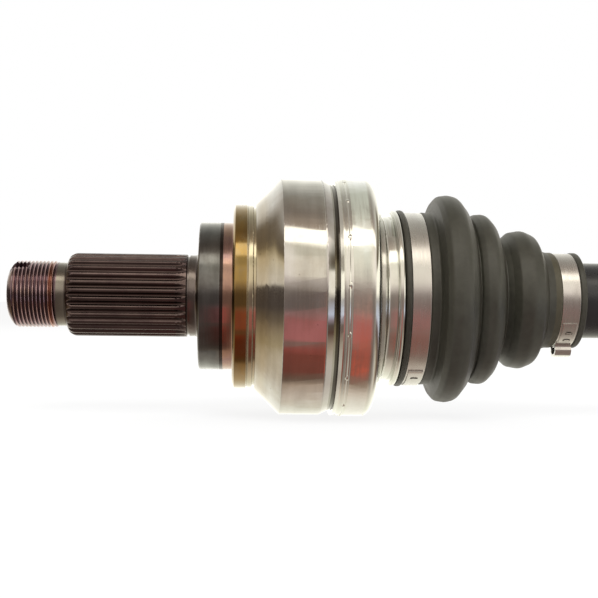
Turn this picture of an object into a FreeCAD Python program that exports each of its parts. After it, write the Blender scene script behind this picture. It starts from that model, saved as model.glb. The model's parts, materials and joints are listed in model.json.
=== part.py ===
import FreeCAD, Part

import math
import os

# A car's half shaft in millimetres. +X runs along the shaft from the wheel end to the gearbox end,
# +Z is up, and the origin is the centre of the face that the wheel hub seats against.

# Bar
joint_span = 400.0
bar_radius = 15.6
bar_neck_radius = 12.0
bar_taper = 11.0
bar_stop_radius = 14.0
bar_stop_width = 3.5
bar_end_overhang = 4.0
small_seat_width = 12.8

# Balls, cages and races, the same in both joints
ball_radius = 9.6
ball_circle_radius = 31.0
ball_count = 6
track_clearance = 0.35
sphere_clearance = 0.3
cage_outer_radius = 35.7
cage_wall = 5.9
cage_width = 27.0
window_clearance = 0.25
window_width = 22.0
window_corner = 3.0
race_width = 24.0
circlip_wire = 1.6
circlip_depth = 1.3

# Wheel stub
tip_to_shoulder = 76.5
thread_radius = 13.5
thread_length = 20.3
thread_tip_radius = 9.25
thread_tip_length = 4.0
undercut_length = 2.4
undercut_radius = 12.6
spline_tip_radius = 16.8
spline_depth = 1.15
spline_teeth = 30
spline_lead_in = 3.3
spline_runout = 4.0
spline_to_shoulder = 4.1
slot_width = 4.4
slot_depth = 3.0
slot_length = 8.9
slot_cutter_radius = 7.0
slot_angle = 15.0

# Wheel bell
shoulder_radius = 30.0
shoulder_length = 13.5
ring_seat_radius = 32.0
ring_length = 8.9
ring_wall = 5.5
ring_groove = 0.9
cone_root_step = 0.3
bell_radius = 48.0
cone_end = 32.6
bell_cylinder_end = 47.7
rim_chamfer_end = 50.6
rim_groove_radius = 45.85
outer_centre = 48.0
cavity_depth = 22.0
rim_end = 64.0
rim_mouth_chamfer = 1.5

# Sheet-metal cap on the wheel bell
cap_sheet = 1.4
cap_radius = 48.5
cap_lip_start = 52.4
cap_lip_drop = 1.05
cap_seam = 59.9
cap_seam_depth = 0.55
cap_corner_x = 70.5
cap_corner_radius = 3.6
cap_wall_end = 74.3
cap_shelf_radius = 33.7
cap_bead_start = 77.0
cap_bead_width = 3.0
cap_bead_radius = 36.2
cap_neck_radius = 31.2
cap_neck_end = 91.6
seal_wire_radius = 1.3
groove_play = 0.1
seal_x = 61.2

# Boots and their band clamps
boot_wall = 2.3
boot_fit = 0.3
boot_collar_wall = 2.8
boot_lip_height = 2.3
outer_collar_width = 12.3
outer_boot_length = 62.7
inner_boot_length = 89.0

# Folds of the boots: distance from the boot's large end, radius and rounding
outer_folds = [
    (12.6, 33.8, 0.6),
    (20.8, 44.6, 3.6),
    (30.4, 30.4, 1.5),
    (35.8, 36.6, 2.6),
    (44.2, 23.4, 1.4),
    (52.2, 30.4, 3.6),
    (60.0, 23.4, 0.8),
]
inner_folds = [
    (20.0, 39.5, 1.5),
    (29.0, 46.8, 3.4),
    (39.5, 35.2, 1.6),
    (47.5, 42.6, 3.0),
    (56.5, 31.0, 1.6),
    (64.5, 37.4, 3.0),
    (73.0, 26.2, 1.6),
    (80.5, 31.9, 3.0),
    (87.0, 23.8, 0.8),
]

# Band clamps
clamp_sheet = 1.0
clamp_lap_sheet = 0.6
clamp_width = 7.4
clamp_lap_angle = 56.0
large_lap_start = 128.0
small_lap_start = 105.0
ear_width = 9.0
ear_height = 4.2
ear_angle = 168.0

# Gearbox joint, measured from its own centre
cup_radius = 48.5
cup_mouth = 34.0
cup_seat_width = 15.0
cup_seat_radius = 43.2
cup_depth = 35.0
cup_drum_end = 34.0
cup_cone_end = 51.0
cup_cone_radius = 30.0
journal_radius = 25.0
journal_end = 74.0
stub_radius = 14.0
stub_end = 122.0
stub_teeth = 28
stub_spline_length = 40.0
stub_spline_depth = 1.1
stub_spline_runout = 3.0
stub_groove_x = 114.0
stub_ring_wire = 1.2
keeper_x = 30.0
keeper_wire = 1.3
shield_seat_length = 8.5
shield_seat_step = 1.6
shield_sheet = 1.5
shield_radius = 39.0
shield_collar = 5.0
shield_flange = 5.0
shield_rim = 4.0

X_AXIS = FreeCAD.Vector(1, 0, 0)
ORIGIN = FreeCAD.Vector(0, 0, 0)

inner_centre = outer_centre + joint_span
cage_inner_radius = cage_outer_radius - cage_wall
race_radius = cage_inner_radius - sphere_clearance
bore_radius = cage_outer_radius + sphere_clearance
track_radius = ball_radius + track_clearance
window_length = 2 * (ball_radius + window_clearance)
ring_radius = ring_seat_radius + ring_wall
cone_root_radius = ring_radius + cone_root_step
shield_seat_radius = journal_radius + shield_seat_step
outer_clamp_offset = outer_collar_width / 2
inner_boot_start = cup_mouth - cup_seat_width + boot_fit
outer_boot_start = cap_bead_start + cap_bead_width


def point(x, radius):
    """A point of a half section, which lies in the XZ plane."""
    return FreeCAD.Vector(x, 0, radius)


def rounded_edges(corners):
    """Straight edges joined by tangent arcs. A corner is (x, radius) or (x, radius, rounding)."""
    spots = [point(c[0], c[1]) for c in corners]
    rounding = [c[2] if len(c) > 2 else 0.0 for c in corners]
    edges = []
    start = spots[0]
    for i in range(1, len(spots) - 1):
        to_last = (spots[i - 1] - spots[i]).normalize()
        to_next = (spots[i + 1] - spots[i]).normalize()
        half = to_last.getAngle(to_next) / 2
        if rounding[i] <= 0 or half > math.radians(89):
            edges.append(Part.makeLine(start, spots[i]))
            start = spots[i]
            continue
        reach = rounding[i] / math.tan(half)
        room = 0.48 * min((spots[i] - spots[i - 1]).Length, (spots[i + 1] - spots[i]).Length)
        reach = min(reach, room)
        radius = reach * math.tan(half)
        middle = (to_last + to_next).normalize() * (radius / math.sin(half) - radius)
        first = spots[i] + to_last * reach
        last = spots[i] + to_next * reach
        edges.append(Part.makeLine(start, first))
        edges.append(Part.Arc(first, spots[i] + middle, last).toShape())
        start = last
    edges.append(Part.makeLine(start, spots[-1]))
    return edges


def turned(corners):
    """A solid of revolution about the shaft's axis, from the closed outline of its half section."""
    edges = rounded_edges(corners)
    edges.append(Part.makeLine(point(*corners[-1][:2]), point(*corners[0][:2])))
    return Part.Face(Part.Wire(edges)).revolve(ORIGIN, X_AXIS, 360)


def ring(start, end, inside, outside, rounding=0.0):
    """A plain ring with its outer corners rounded."""
    return turned(
        [(start, inside), (start, outside, rounding), (end, outside, rounding), (end, inside)]
    )


def wire_ring(x, radius, wire_radius):
    """A ring of round wire about the shaft's axis."""
    return Part.makeTorus(radius, wire_radius, FreeCAD.Vector(x, 0, 0), X_AXIS)


def inside_of(corners, wall):
    """The same outline moved one wall thickness towards the axis."""
    moved = []
    for i, corner in enumerate(corners):
        here = point(corner[0], corner[1])
        sides = []
        if i > 0:
            sides.append((here - point(*corners[i - 1][:2])).normalize())
        if i < len(corners) - 1:
            sides.append((point(*corners[i + 1][:2]) - here).normalize())
        normals = [FreeCAD.Vector(side.z, 0, -side.x) for side in sides]
        shift = (normals[0] + normals[-1]) * (wall / (1 + normals[0].dot(normals[-1])))
        rounding = corner[2] if len(corner) > 2 else 0.0
        if len(sides) == 2:
            outward = sides[0].x * sides[1].z - sides[0].z * sides[1].x < 0
            rounding = max(rounding - wall, 0.3) if outward else rounding + wall
        moved.append((here.x + shift.x, here.z + shift.z, rounding))
    return moved


def sheet(corners, wall):
    """A thin turned wall, from the outline of its outer side."""
    return turned(list(corners) + inside_of(corners, wall)[::-1])


def turn_about_axis(shape, degrees):
    """A copy of a shape turned about the shaft's axis."""
    copy = shape.copy()
    copy.rotate(ORIGIN, X_AXIS, degrees)
    return copy


def moved_along(shape, distance):
    """A copy of a shape moved along the shaft."""
    copy = shape.copy()
    copy.translate(FreeCAD.Vector(distance, 0, 0))
    return copy


def spline_gaps(start, end, tip_radius, root_radius, teeth, runout):
    """The spaces between spline teeth, to be cut. They rise out of the bar over the run-out at end."""
    pitch = 2 * math.pi / teeth
    outline = []
    tooth = ((-0.36, root_radius), (-0.14, tip_radius), (0.14, tip_radius), (0.36, root_radius))
    for i in range(teeth):
        for share, radius in tooth:
            angle = (i + share) * pitch
            outline.append(FreeCAD.Vector(start, radius * math.sin(angle), radius * math.cos(angle)))
    outline.append(outline[0])
    toothed = Part.Face(Part.makePolygon(outline)).extrude(FreeCAD.Vector(end - start, 0, 0))
    lid = tip_radius + 0.5
    floor = root_radius - 1
    zone = turned([(start, floor), (start, lid), (end, lid), (end, tip_radius), (end - runout, floor)])
    return zone.cut(toothed)


def torus_tracks(centre, start, end):
    """Curved ball tracks: each torus holds the paths of two balls that lie opposite each other."""
    reach = ball_circle_radius + 2 * track_radius
    slab = Part.makeCylinder(reach, end - start, FreeCAD.Vector(start, 0, 0), X_AXIS)
    tracks = []
    for i in range(ball_count // 2):
        torus = Part.makeTorus(
            ball_circle_radius, track_radius, FreeCAD.Vector(centre, 0, 0), FreeCAD.Vector(0, 1, 0)
        )
        tracks.append(turn_about_axis(torus, i * 360.0 / ball_count).common(slab))
    return tracks


def sphere_zone(centre, radius, start, end):
    """The part of a ball between two planes across the shaft."""
    sphere = Part.makeSphere(radius, FreeCAD.Vector(centre, 0, 0))
    slab = Part.makeCylinder(radius + 1, end - start, FreeCAD.Vector(start, 0, 0), X_AXIS)
    return sphere.common(slab)


def make_race(centre):
    """The grooved race that is splined onto an end of the bar."""
    half = race_width / 2
    race = sphere_zone(centre, race_radius, centre - half, centre + half)
    race = race.cut(
        Part.makeCylinder(bar_neck_radius, race_width, FreeCAD.Vector(centre - half, 0, 0), X_AXIS)
    )
    for track in torus_tracks(centre, centre - half - 1, centre + half + 1):
        race = race.cut(track)
    return race


def make_cage(centre):
    """The cage with one window for each ball."""
    half = cage_width / 2
    cage = sphere_zone(centre, cage_outer_radius, centre - half, centre + half)
    cage = cage.cut(Part.makeSphere(cage_inner_radius, FreeCAD.Vector(centre, 0, 0)))
    corner = FreeCAD.Vector(centre - window_length / 2, -window_width / 2, cage_inner_radius / 2)
    window = Part.makeBox(window_length, window_width, cage_outer_radius, corner)
    uprights = [e for e in window.Edges if abs(e.tangentAt(e.FirstParameter).z) > 0.99]
    window = window.makeFillet(window_corner, uprights)
    for i in range(ball_count):
        cage = cage.cut(turn_about_axis(window, i * 360.0 / ball_count))
    return cage


def make_balls(centre):
    """The balls in order about the axis, the first at the top."""
    ball = Part.makeSphere(ball_radius, FreeCAD.Vector(centre, 0, ball_circle_radius))
    return [turn_about_axis(ball, -i * 360.0 / ball_count) for i in range(ball_count)]


def race_circlip_x(centre, towards_end):
    """Where the ring that keeps a race on the bar has its middle."""
    return centre + towards_end * (race_width / 2 + circlip_wire)


def make_race_circlip(centre, towards_end):
    """The square-wire ring that keeps a race on the bar, with its gap."""
    middle = race_circlip_x(centre, towards_end)
    wire = circlip_wire
    clip = ring(
        middle - wire, middle + wire, bar_neck_radius - circlip_depth, bar_neck_radius + circlip_depth, 0.3
    )
    gap = Part.makeBox(4 * wire, 2 * wire, 3 * bar_neck_radius, FreeCAD.Vector(middle - 2 * wire, -wire, 0))
    return clip.cut(gap)


def make_bar():
    """The solid bar, thinner under both boots, with a race seat and a ring groove at each end."""
    left = outer_centre - race_width / 2 - 2 * circlip_wire - bar_end_overhang / 2
    right = inner_centre + race_width / 2 + 2 * circlip_wire + bar_end_overhang / 2
    stop_left = outer_centre + race_width / 2
    stop_right = inner_centre - race_width / 2
    small_left = outer_boot_small_start()
    small_right = inner_centre - inner_boot_small_start()
    neck, stop, full = bar_neck_radius, bar_stop_radius, bar_radius
    bar = turned(
        [
            (left, 0),
            (left, neck - 1.2),
            (left + 1.2, neck),
            (stop_left, neck),
            (stop_left, stop, 0.6),
            (stop_left + bar_stop_width, stop, 0.6),
            (stop_left + bar_stop_width + 3, neck, 2),
            (small_left - bar_taper, neck, 6),
            (small_left, full, 6),
            (small_right, full, 6),
            (small_right + bar_taper, neck, 6),
            (stop_right - bar_stop_width - 3, neck, 2),
            (stop_right - bar_stop_width, stop, 0.6),
            (stop_right, stop, 0.6),
            (stop_right, neck),
            (right - 1.2, neck),
            (right, neck - 1.2),
            (right, 0),
        ]
    )
    for centre, way in ((outer_centre, -1), (inner_centre, 1)):
        middle = race_circlip_x(centre, way)
        bar = bar.cut(
            ring(middle - circlip_wire, middle + circlip_wire, neck - circlip_depth, neck + 1)
        )
    return bar


def make_outer_housing():
    """The wheel bell in one piece with its splined and threaded stub."""
    tip = -tip_to_shoulder
    thread_end = tip + thread_length
    spline_start = thread_end + undercut_length
    neck = spline_tip_radius - 0.25
    cap_inside = cap_radius - cap_sheet
    bottom = outer_centre - cavity_depth
    mouth_radius = math.sqrt(bore_radius**2 - (rim_end - outer_centre) ** 2)
    bell = turned(
        [
            (tip, 0),
            (tip, thread_tip_radius, 1.2),
            (tip + thread_tip_length, thread_radius, 1.5),
            (thread_end, thread_radius),
            (thread_end + 0.7, undercut_radius, 0.5),
            (spline_start, undercut_radius, 0.4),
            (spline_start, undercut_radius + 1),
            (spline_start + spline_lead_in, spline_tip_radius),
            (-spline_to_shoulder, spline_tip_radius),
            (-spline_to_shoulder, neck),
            (0, neck, 2),
            (0, shoulder_radius, 0.8),
            (shoulder_length, shoulder_radius, 0.5),
            (shoulder_length, ring_seat_radius),
            (shoulder_length + ring_length, ring_seat_radius),
            (shoulder_length + ring_length, cone_root_radius, 0.3),
            (cone_end, bell_radius, 0.5),
            (bell_cylinder_end, bell_radius, 0.8),
            (rim_chamfer_end, rim_groove_radius, 0.6),
            (cap_lip_start + 0.2, rim_groove_radius, 0.3),
            (cap_lip_start + 0.6, cap_inside - cap_lip_drop),
            (cap_seam - 0.3, cap_inside),
            (rim_end, cap_inside, 0.8),
            (rim_end, mouth_radius + rim_mouth_chamfer),
            (rim_end - rim_mouth_chamfer, mouth_radius),
            (rim_end - rim_mouth_chamfer, 0),
        ]
    )
    bell = bell.cut(sphere_zone(outer_centre, bore_radius, bottom, rim_end + 1))
    for track in torus_tracks(outer_centre, bottom, rim_end + 1):
        bell = bell.cut(track)
    bell = bell.cut(wire_groove(seal_x, cap_inside, seal_wire_radius))
    bell = bell.cut(
        spline_gaps(
            spline_start - 0.5,
            -spline_to_shoulder - 1,
            spline_tip_radius,
            spline_tip_radius - spline_depth,
            spline_teeth,
            spline_runout,
        )
    )
    return bell.cut(staking_slot(tip))


def wire_groove(x, surface_radius, wire_radius):
    """The square groove for a round ring that lies just under a surface."""
    half = wire_radius + groove_play
    return ring(x - half, x + half, surface_radius - 2 * half, surface_radius + 1)


def staking_slot(tip):
    """The slot along the thread for locking the hub nut. Its floor rises on the cutter's curve."""
    floor = thread_radius - slot_depth
    above = thread_radius + 2
    run = slot_length - math.sqrt(slot_cutter_radius**2 - (slot_cutter_radius - slot_depth) ** 2)
    corner = point(tip + run, floor)
    top = point(tip + slot_length, thread_radius)
    sweep = math.acos(1 - slot_depth / slot_cutter_radius) / 2
    middle = point(
        corner.x + slot_cutter_radius * math.sin(sweep), floor + slot_cutter_radius * (1 - math.cos(sweep))
    )
    edges = [
        Part.makeLine(point(tip - 1, floor), corner),
        Part.Arc(corner, middle, top).toShape(),
        Part.makeLine(top, point(top.x, above)),
        Part.makeLine(point(top.x, above), point(tip - 1, above)),
        Part.makeLine(point(tip - 1, above), point(tip - 1, floor)),
    ]
    slot = Part.Face(Part.Wire(edges)).extrude(FreeCAD.Vector(0, slot_width, 0))
    slot.translate(FreeCAD.Vector(0, -slot_width / 2, 0))
    return turn_about_axis(slot, slot_angle)


def make_hub_ring():
    """The plated ring pressed on behind the shoulder, a wide band and a rounded one."""
    start = shoulder_length
    end = shoulder_length + ring_length
    split = start + 0.62 * ring_length
    return turned(
        [
            (start, ring_seat_radius),
            (start, shoulder_radius + 6, 0.4),
            (start + 0.8, ring_radius, 0.5),
            (split, ring_radius, 0.2),
            (split + 0.2, ring_radius - 0.6, 0.1),
            (split + 0.6, ring_radius - 0.3, 1.0),
            (end - ring_groove, ring_radius - 0.3, 0.8),
            (end - ring_groove + 0.1, ring_radius - 1.2),
            (end, ring_radius - 1.2),
            (end, ring_seat_radius),
        ]
    )


def make_cap():
    """The pressed cap: a rolled lip in the bell's groove, a drum, an end wall and the boot's neck."""
    cap = sheet(
        [
            (cap_lip_start, cap_radius - cap_lip_drop),
            (cap_seam - 0.3, cap_radius),
            (cap_corner_x, cap_radius, cap_corner_radius),
            (cap_wall_end, cap_shelf_radius, 1.0),
            (cap_bead_start + 1.2, cap_shelf_radius, 1.6),
            (cap_bead_start + 2.4, cap_neck_radius, 0.6),
            (cap_neck_end, cap_neck_radius),
        ],
        cap_sheet,
    )
    bead = ring(
        cap_bead_start,
        cap_bead_start + cap_bead_width,
        cap_neck_radius - cap_sheet / 2,
        cap_bead_radius,
        1.4,
    )
    seam = turned(
        [
            (cap_seam - cap_seam_depth, cap_radius + 0.1),
            (cap_seam, cap_radius - cap_seam_depth),
            (cap_seam + cap_seam_depth, cap_radius + 0.1),
        ]
    )
    return cap.fuse(bead).cut(seam).removeSplitter()


def make_cap_seal():
    """The rubber ring between the bell's rim and the cap."""
    return wire_ring(seal_x, cap_radius - cap_sheet - seal_wire_radius - groove_play, seal_wire_radius)


def collar(start, end, seat_radius, wall, lip_at_start, lip_at_end):
    """A boot's end: a thick band under the clamp between two lips that keep the clamp in place."""
    lip = boot_lip_height
    outside = seat_radius + wall
    room = (end - start - clamp_width) / 2
    return turned(
        [
            (start, seat_radius),
            (start, outside + lip * lip_at_start, 0.8),
            (start + room - 0.1, outside + lip * lip_at_start, 0.8),
            (start + room, outside),
            (end - room, outside),
            (end - room + 0.1, outside + lip * lip_at_end, 0.8),
            (end, outside + lip * lip_at_end, 0.8),
            (end, seat_radius),
        ]
    )


def outer_boot_small_start():
    """Where the wheel boot's small collar begins on the bar."""
    return outer_boot_start + outer_boot_length


def make_outer_boot():
    """The wheel boot with three bulges that grow smaller towards the bar."""
    large = outer_boot_start
    small = outer_boot_small_start()
    seat = cap_neck_radius + boot_fit
    large_end = large + outer_collar_width
    large_collar = collar(large, large_end, seat, boot_collar_wall - boot_fit, 1, 0.9)
    folds = [(large + distance, radius, rounding) for distance, radius, rounding in outer_folds]
    small_collar = collar(small, small + small_seat_width, bar_radius, boot_collar_wall, 0.6, 0.6)
    bellows = sheet(
        [
            (large_end - 1.7, seat + boot_wall),
            *folds,
            (small + 0.4, bar_radius + boot_wall, 0.6),
            (small + 3.0, bar_radius + boot_wall),
        ],
        boot_wall,
    )
    return bellows.fuse([large_collar, small_collar]).removeSplitter()


def inner_boot_small_start():
    """Distance of the gearbox boot's small collar from the joint's centre."""
    return inner_boot_start + inner_boot_length


def make_inner_boot():
    """The gearbox boot with four bulges. It is drawn from its joint outwards, then turned round."""
    large = inner_boot_start
    small = inner_boot_small_start()
    seat = cup_seat_radius + boot_fit
    large_collar = collar(large, large + cup_seat_width, seat, boot_collar_wall - boot_fit, 0.55, 0.55)
    small_seat = bar_radius + boot_fit
    small_collar = collar(small, small + small_seat_width, small_seat, boot_collar_wall - boot_fit, 0.6, 0.6)
    folds = [(large + distance, radius, rounding) for distance, radius, rounding in inner_folds]
    bellows = sheet(
        [
            (large + cup_seat_width - 2, seat + boot_wall),
            (large + cup_seat_width + 1, seat + boot_wall - 0.3, 0.8),
            *folds,
            (small + 0.4, small_seat + boot_wall, 0.6),
            (small + 3.0, small_seat + boot_wall),
        ],
        boot_wall,
    )
    boot = bellows.fuse([large_collar, small_collar]).removeSplitter()
    boot.rotate(ORIGIN, FreeCAD.Vector(0, 0, 1), 180)
    return moved_along(boot, inner_centre)


def band_clamp(middle, inside_radius, lap_start):
    """A steel band with its lapped tail, which lies over the first turn."""
    outside = inside_radius + clamp_sheet
    half = clamp_width / 2
    band = ring(middle - half, middle + half, inside_radius, outside, 0.2)
    lap = Part.Face(
        Part.Wire(
            Part.makePolygon(
                [
                    point(middle - half * 0.8, outside - 0.2),
                    point(middle - half * 0.8, outside + clamp_lap_sheet),
                    point(middle + half * 0.8, outside + clamp_lap_sheet),
                    point(middle + half * 0.8, outside - 0.2),
                    point(middle - half * 0.8, outside - 0.2),
                ]
            )
        )
    ).revolve(ORIGIN, X_AXIS, clamp_lap_angle)
    return band.fuse(turn_about_axis(lap, lap_start)).removeSplitter()


def clamp_ear(middle, band_radius, angle):
    """The pinched ear that tightens a band: an arch of sheet across the band."""
    half = ear_width / 2
    base = math.sqrt(band_radius**2 - half**2) - clamp_sheet / 2

    def arch(inset):
        """One outline of the arch, at a distance inside the outer one."""
        side = half - inset
        top = band_radius + ear_height - inset
        foot_left = FreeCAD.Vector(0, -side, base)
        foot_right = FreeCAD.Vector(0, side, base)
        waist = 0.72 * side
        shoulder = band_radius + 0.55 * (ear_height - inset)
        left = FreeCAD.Vector(0, -waist, shoulder)
        right = FreeCAD.Vector(0, waist, shoulder)
        edges = [
            Part.makeLine(foot_left, left),
            Part.Arc(left, FreeCAD.Vector(0, 0, top), right).toShape(),
            Part.makeLine(right, foot_right),
            Part.makeLine(foot_right, foot_left),
        ]
        return Part.Face(Part.Wire(edges))

    length = 0.86 * clamp_width
    outer = arch(0).extrude(FreeCAD.Vector(length, 0, 0))
    inner = arch(clamp_sheet * 0.9).extrude(FreeCAD.Vector(length, 0, 0))
    ear = moved_along(outer.cut(inner), middle - length / 2)
    return turn_about_axis(ear, angle)


def make_eared_clamp(middle, inside_radius):
    """A band clamp with its ear underneath."""
    band = band_clamp(middle, inside_radius, small_lap_start)
    return band.fuse(clamp_ear(middle, inside_radius + clamp_sheet, ear_angle)).removeSplitter()


def straight_tracks(centre, start, end):
    """The straight ball tracks of the plunging joint."""
    spot = FreeCAD.Vector(start, 0, ball_circle_radius)
    track = Part.makeCylinder(track_radius, end - start, spot, X_AXIS)
    return [turn_about_axis(track, i * 360.0 / ball_count) for i in range(ball_count)]


def make_inner_housing():
    """The gearbox cup in one piece with its seal journal and splined stub."""
    at = inner_centre
    mouth = at - cup_mouth
    bottom = at + cup_depth
    seat_end = mouth + cup_seat_width
    shield_root = shield_root_x()
    housing = turned(
        [
            (mouth, bore_radius),
            (mouth, cup_seat_radius, 0.8),
            (seat_end, cup_seat_radius),
            (seat_end, cup_radius, 0.8),
            (at + cup_drum_end, cup_radius, 3.0),
            (at + cup_cone_end, cup_cone_radius, 3.0),
            (shield_root, shield_seat_radius, 0.5),
            (shield_root + shield_seat_length, shield_seat_radius),
            (shield_root + shield_seat_length, journal_radius),
            (at + journal_end, journal_radius, 1.0),
            (at + journal_end + 2, stub_radius + 1, 1.0),
            (at + stub_end - 1.8, stub_radius),
            (at + stub_end, stub_radius - 1.8),
            (at + stub_end, 0),
            (bottom, 0),
            (bottom, bore_radius, 3.0),
        ]
    )
    for track in straight_tracks(at, mouth - 1, bottom - 4):
        housing = housing.cut(track)
    keeper_start = at - keeper_x - keeper_wire - groove_play
    keeper_end = at - keeper_x + keeper_wire + groove_play
    keeper_outside = bore_radius + keeper_wire + groove_play
    housing = housing.cut(ring(keeper_start, keeper_end, bore_radius - 1, keeper_outside))
    root = stub_radius - stub_spline_depth
    gaps = spline_gaps(0, stub_spline_length, stub_radius, root, stub_teeth, stub_spline_runout)
    housing = housing.cut(
        moved_along(
            gaps.mirror(ORIGIN, X_AXIS),
            at + stub_end + 0.5,
        )
    )
    return housing.cut(wire_groove(at + stub_groove_x, stub_radius, stub_ring_wire))


def make_keeper_ring():
    """The wire ring in the cup's mouth that keeps the balls in."""
    return wire_ring(inner_centre - keeper_x, bore_radius, keeper_wire)


def make_stub_ring():
    """The split wire ring that keeps the stub in the gearbox."""
    x = inner_centre + stub_groove_x
    clip = wire_ring(x, stub_radius - stub_ring_wire / 2, stub_ring_wire)
    gap = Part.makeBox(6 * stub_ring_wire, 2, 2 * stub_radius, FreeCAD.Vector(x - 3 * stub_ring_wire, -1, 0))
    return clip.cut(gap)


def shield_root_x():
    """Where the shield's seat begins on the gearbox cup, at the foot of its cone."""
    return inner_centre + cup_cone_end + 1.5


def make_oil_shield():
    """The pressed shield on its seat beside the journal. It guards the gearbox seal."""
    face = shield_root_x() + shield_seat_length - 0.5 - shield_collar
    outside = shield_seat_radius + shield_sheet
    return sheet(
        [
            (face + shield_collar, outside),
            (face, outside, 1.8),
            (face, shield_radius - shield_flange, 1.8),
            (face + shield_rim, shield_radius, 1.8),
            (face + 2 * shield_rim, shield_radius),
        ],
        -shield_sheet,
    )


def build_parts():
    """Every piece by its name."""
    pieces = {
        "bar": make_bar(),
        "outer_housing": make_outer_housing(),
        "hub_ring": make_hub_ring(),
        "outer_boot_cap": make_cap(),
        "outer_cap_seal": make_cap_seal(),
        "outer_boot": make_outer_boot(),
        "inner_housing": make_inner_housing(),
        "inner_keeper_ring": make_keeper_ring(),
        "inner_oil_shield": make_oil_shield(),
        "inner_stub_ring": make_stub_ring(),
        "inner_boot": make_inner_boot(),
    }
    for name, centre, way in (("outer", outer_centre, -1), ("inner", inner_centre, 1)):
        pieces[name + "_race"] = make_race(centre)
        pieces[name + "_cage"] = make_cage(centre)
        pieces[name + "_race_circlip"] = make_race_circlip(centre, way)
        for number, ball in enumerate(make_balls(centre), start=1):
            pieces[name + "_ball_" + str(number)] = ball
    wheel_large = cap_neck_radius + boot_collar_wall
    gearbox_large = cup_seat_radius + boot_collar_wall
    small = bar_radius + boot_collar_wall
    large_x = outer_boot_start + outer_clamp_offset
    far_x = inner_centre - inner_boot_start - cup_seat_width / 2
    pieces["outer_large_clamp"] = band_clamp(large_x, wheel_large + boot_fit, large_lap_start)
    pieces["inner_large_clamp"] = band_clamp(far_x, gearbox_large + boot_fit, large_lap_start)
    small_near = outer_boot_small_start() + small_seat_width / 2
    small_far = inner_centre - inner_boot_small_start() - small_seat_width / 2
    pieces["outer_small_clamp"] = make_eared_clamp(small_near, small)
    pieces["inner_small_clamp"] = make_eared_clamp(small_far, small + boot_fit)
    return pieces


os.makedirs("parts", exist_ok=True)
for node, shape in build_parts().items():
    shape.exportStep("parts/" + node + ".step")
    print(node, "solids", len(shape.Solids), "valid", shape.isValid(), "volume", round(shape.Volume))
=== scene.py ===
"""The looks of a car's half shaft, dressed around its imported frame.

+X runs along the shaft from the wheel end to the gearbox end, and +Z is up. Sizes are millimetres in the
classes, and they become metres where a mesh is made. The gearbox joint's sizes are counted from its centre.
"""

import json
import logging
import math
from dataclasses import dataclass
from enum import Enum

import bmesh
import bpy
from mathutils import Matrix, Vector

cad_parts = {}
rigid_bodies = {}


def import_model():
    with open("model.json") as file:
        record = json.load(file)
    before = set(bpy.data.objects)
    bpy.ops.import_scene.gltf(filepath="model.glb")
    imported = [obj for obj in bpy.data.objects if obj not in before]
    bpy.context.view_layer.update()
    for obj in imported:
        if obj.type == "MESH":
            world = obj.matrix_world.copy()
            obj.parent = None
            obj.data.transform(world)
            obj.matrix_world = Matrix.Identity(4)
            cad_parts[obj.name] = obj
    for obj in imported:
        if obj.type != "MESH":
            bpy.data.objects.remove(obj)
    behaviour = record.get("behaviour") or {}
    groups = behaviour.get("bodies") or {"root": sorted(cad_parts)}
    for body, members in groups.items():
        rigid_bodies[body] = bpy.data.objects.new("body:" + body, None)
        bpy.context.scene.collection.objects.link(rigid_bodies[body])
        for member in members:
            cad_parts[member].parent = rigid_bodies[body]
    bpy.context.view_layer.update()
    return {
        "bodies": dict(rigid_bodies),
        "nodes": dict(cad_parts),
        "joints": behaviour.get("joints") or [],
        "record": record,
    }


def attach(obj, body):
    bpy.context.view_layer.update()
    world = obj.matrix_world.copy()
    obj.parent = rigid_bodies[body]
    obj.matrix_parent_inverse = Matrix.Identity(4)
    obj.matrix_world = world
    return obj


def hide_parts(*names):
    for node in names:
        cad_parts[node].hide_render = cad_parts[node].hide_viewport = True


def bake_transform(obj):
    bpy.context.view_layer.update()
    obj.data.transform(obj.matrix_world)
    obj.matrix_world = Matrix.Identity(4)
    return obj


MM = 0.001
LOG = logging.getLogger("half_shaft")

Corner = tuple[float, ...]  # a place along X, a radius and sometimes a rounding
Colour = tuple[float, float, float]  # linear red, green and blue
Pair = tuple[float, float]
Stop = tuple[float, int, int, int]  # a place in a ramp and a colour as a display shows it


class Body(str, Enum):
    """The bodies of the frame that the dressed pieces ride on."""

    BAR = "bar"
    OUTER_TOP = "outer_top_ball"
    OUTER_CAGE = "outer_cage_set"
    OUTER_BOTTOM = "outer_bottom_ball"
    WHEEL = "wheel_end"
    INNER_TOP = "inner_top_ball"
    INNER_CAGE = "inner_cage_set"
    INNER_BOTTOM = "inner_bottom_ball"
    CUP_BOOT = "gearbox_boot"
    GEARBOX = "gearbox_end"


class Slot(str, Enum):
    """The record's material slots that the new pieces stand for."""

    STEEL = "machined_steel"
    CAP = "cap_plating"
    RUBBER = "boot_rubber"
    BAND = "clamp_band"


def tone(red: int, green: int, blue: int) -> Colour:
    """Turns a display colour, 0 to 255, into a linear one.

    Args:
        red: Red as a display shows it.
        green: Green as a display shows it.
        blue: Blue as a display shows it.

    Returns:
        The same colour in linear light.
    """
    def straight(value: int) -> float:
        """The linear value of one channel."""
        share = value / 255.0
        return share / 12.92 if share <= 0.04045 else ((share + 0.055) / 1.055) ** 2.4

    return straight(red), straight(green), straight(blue)


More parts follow.
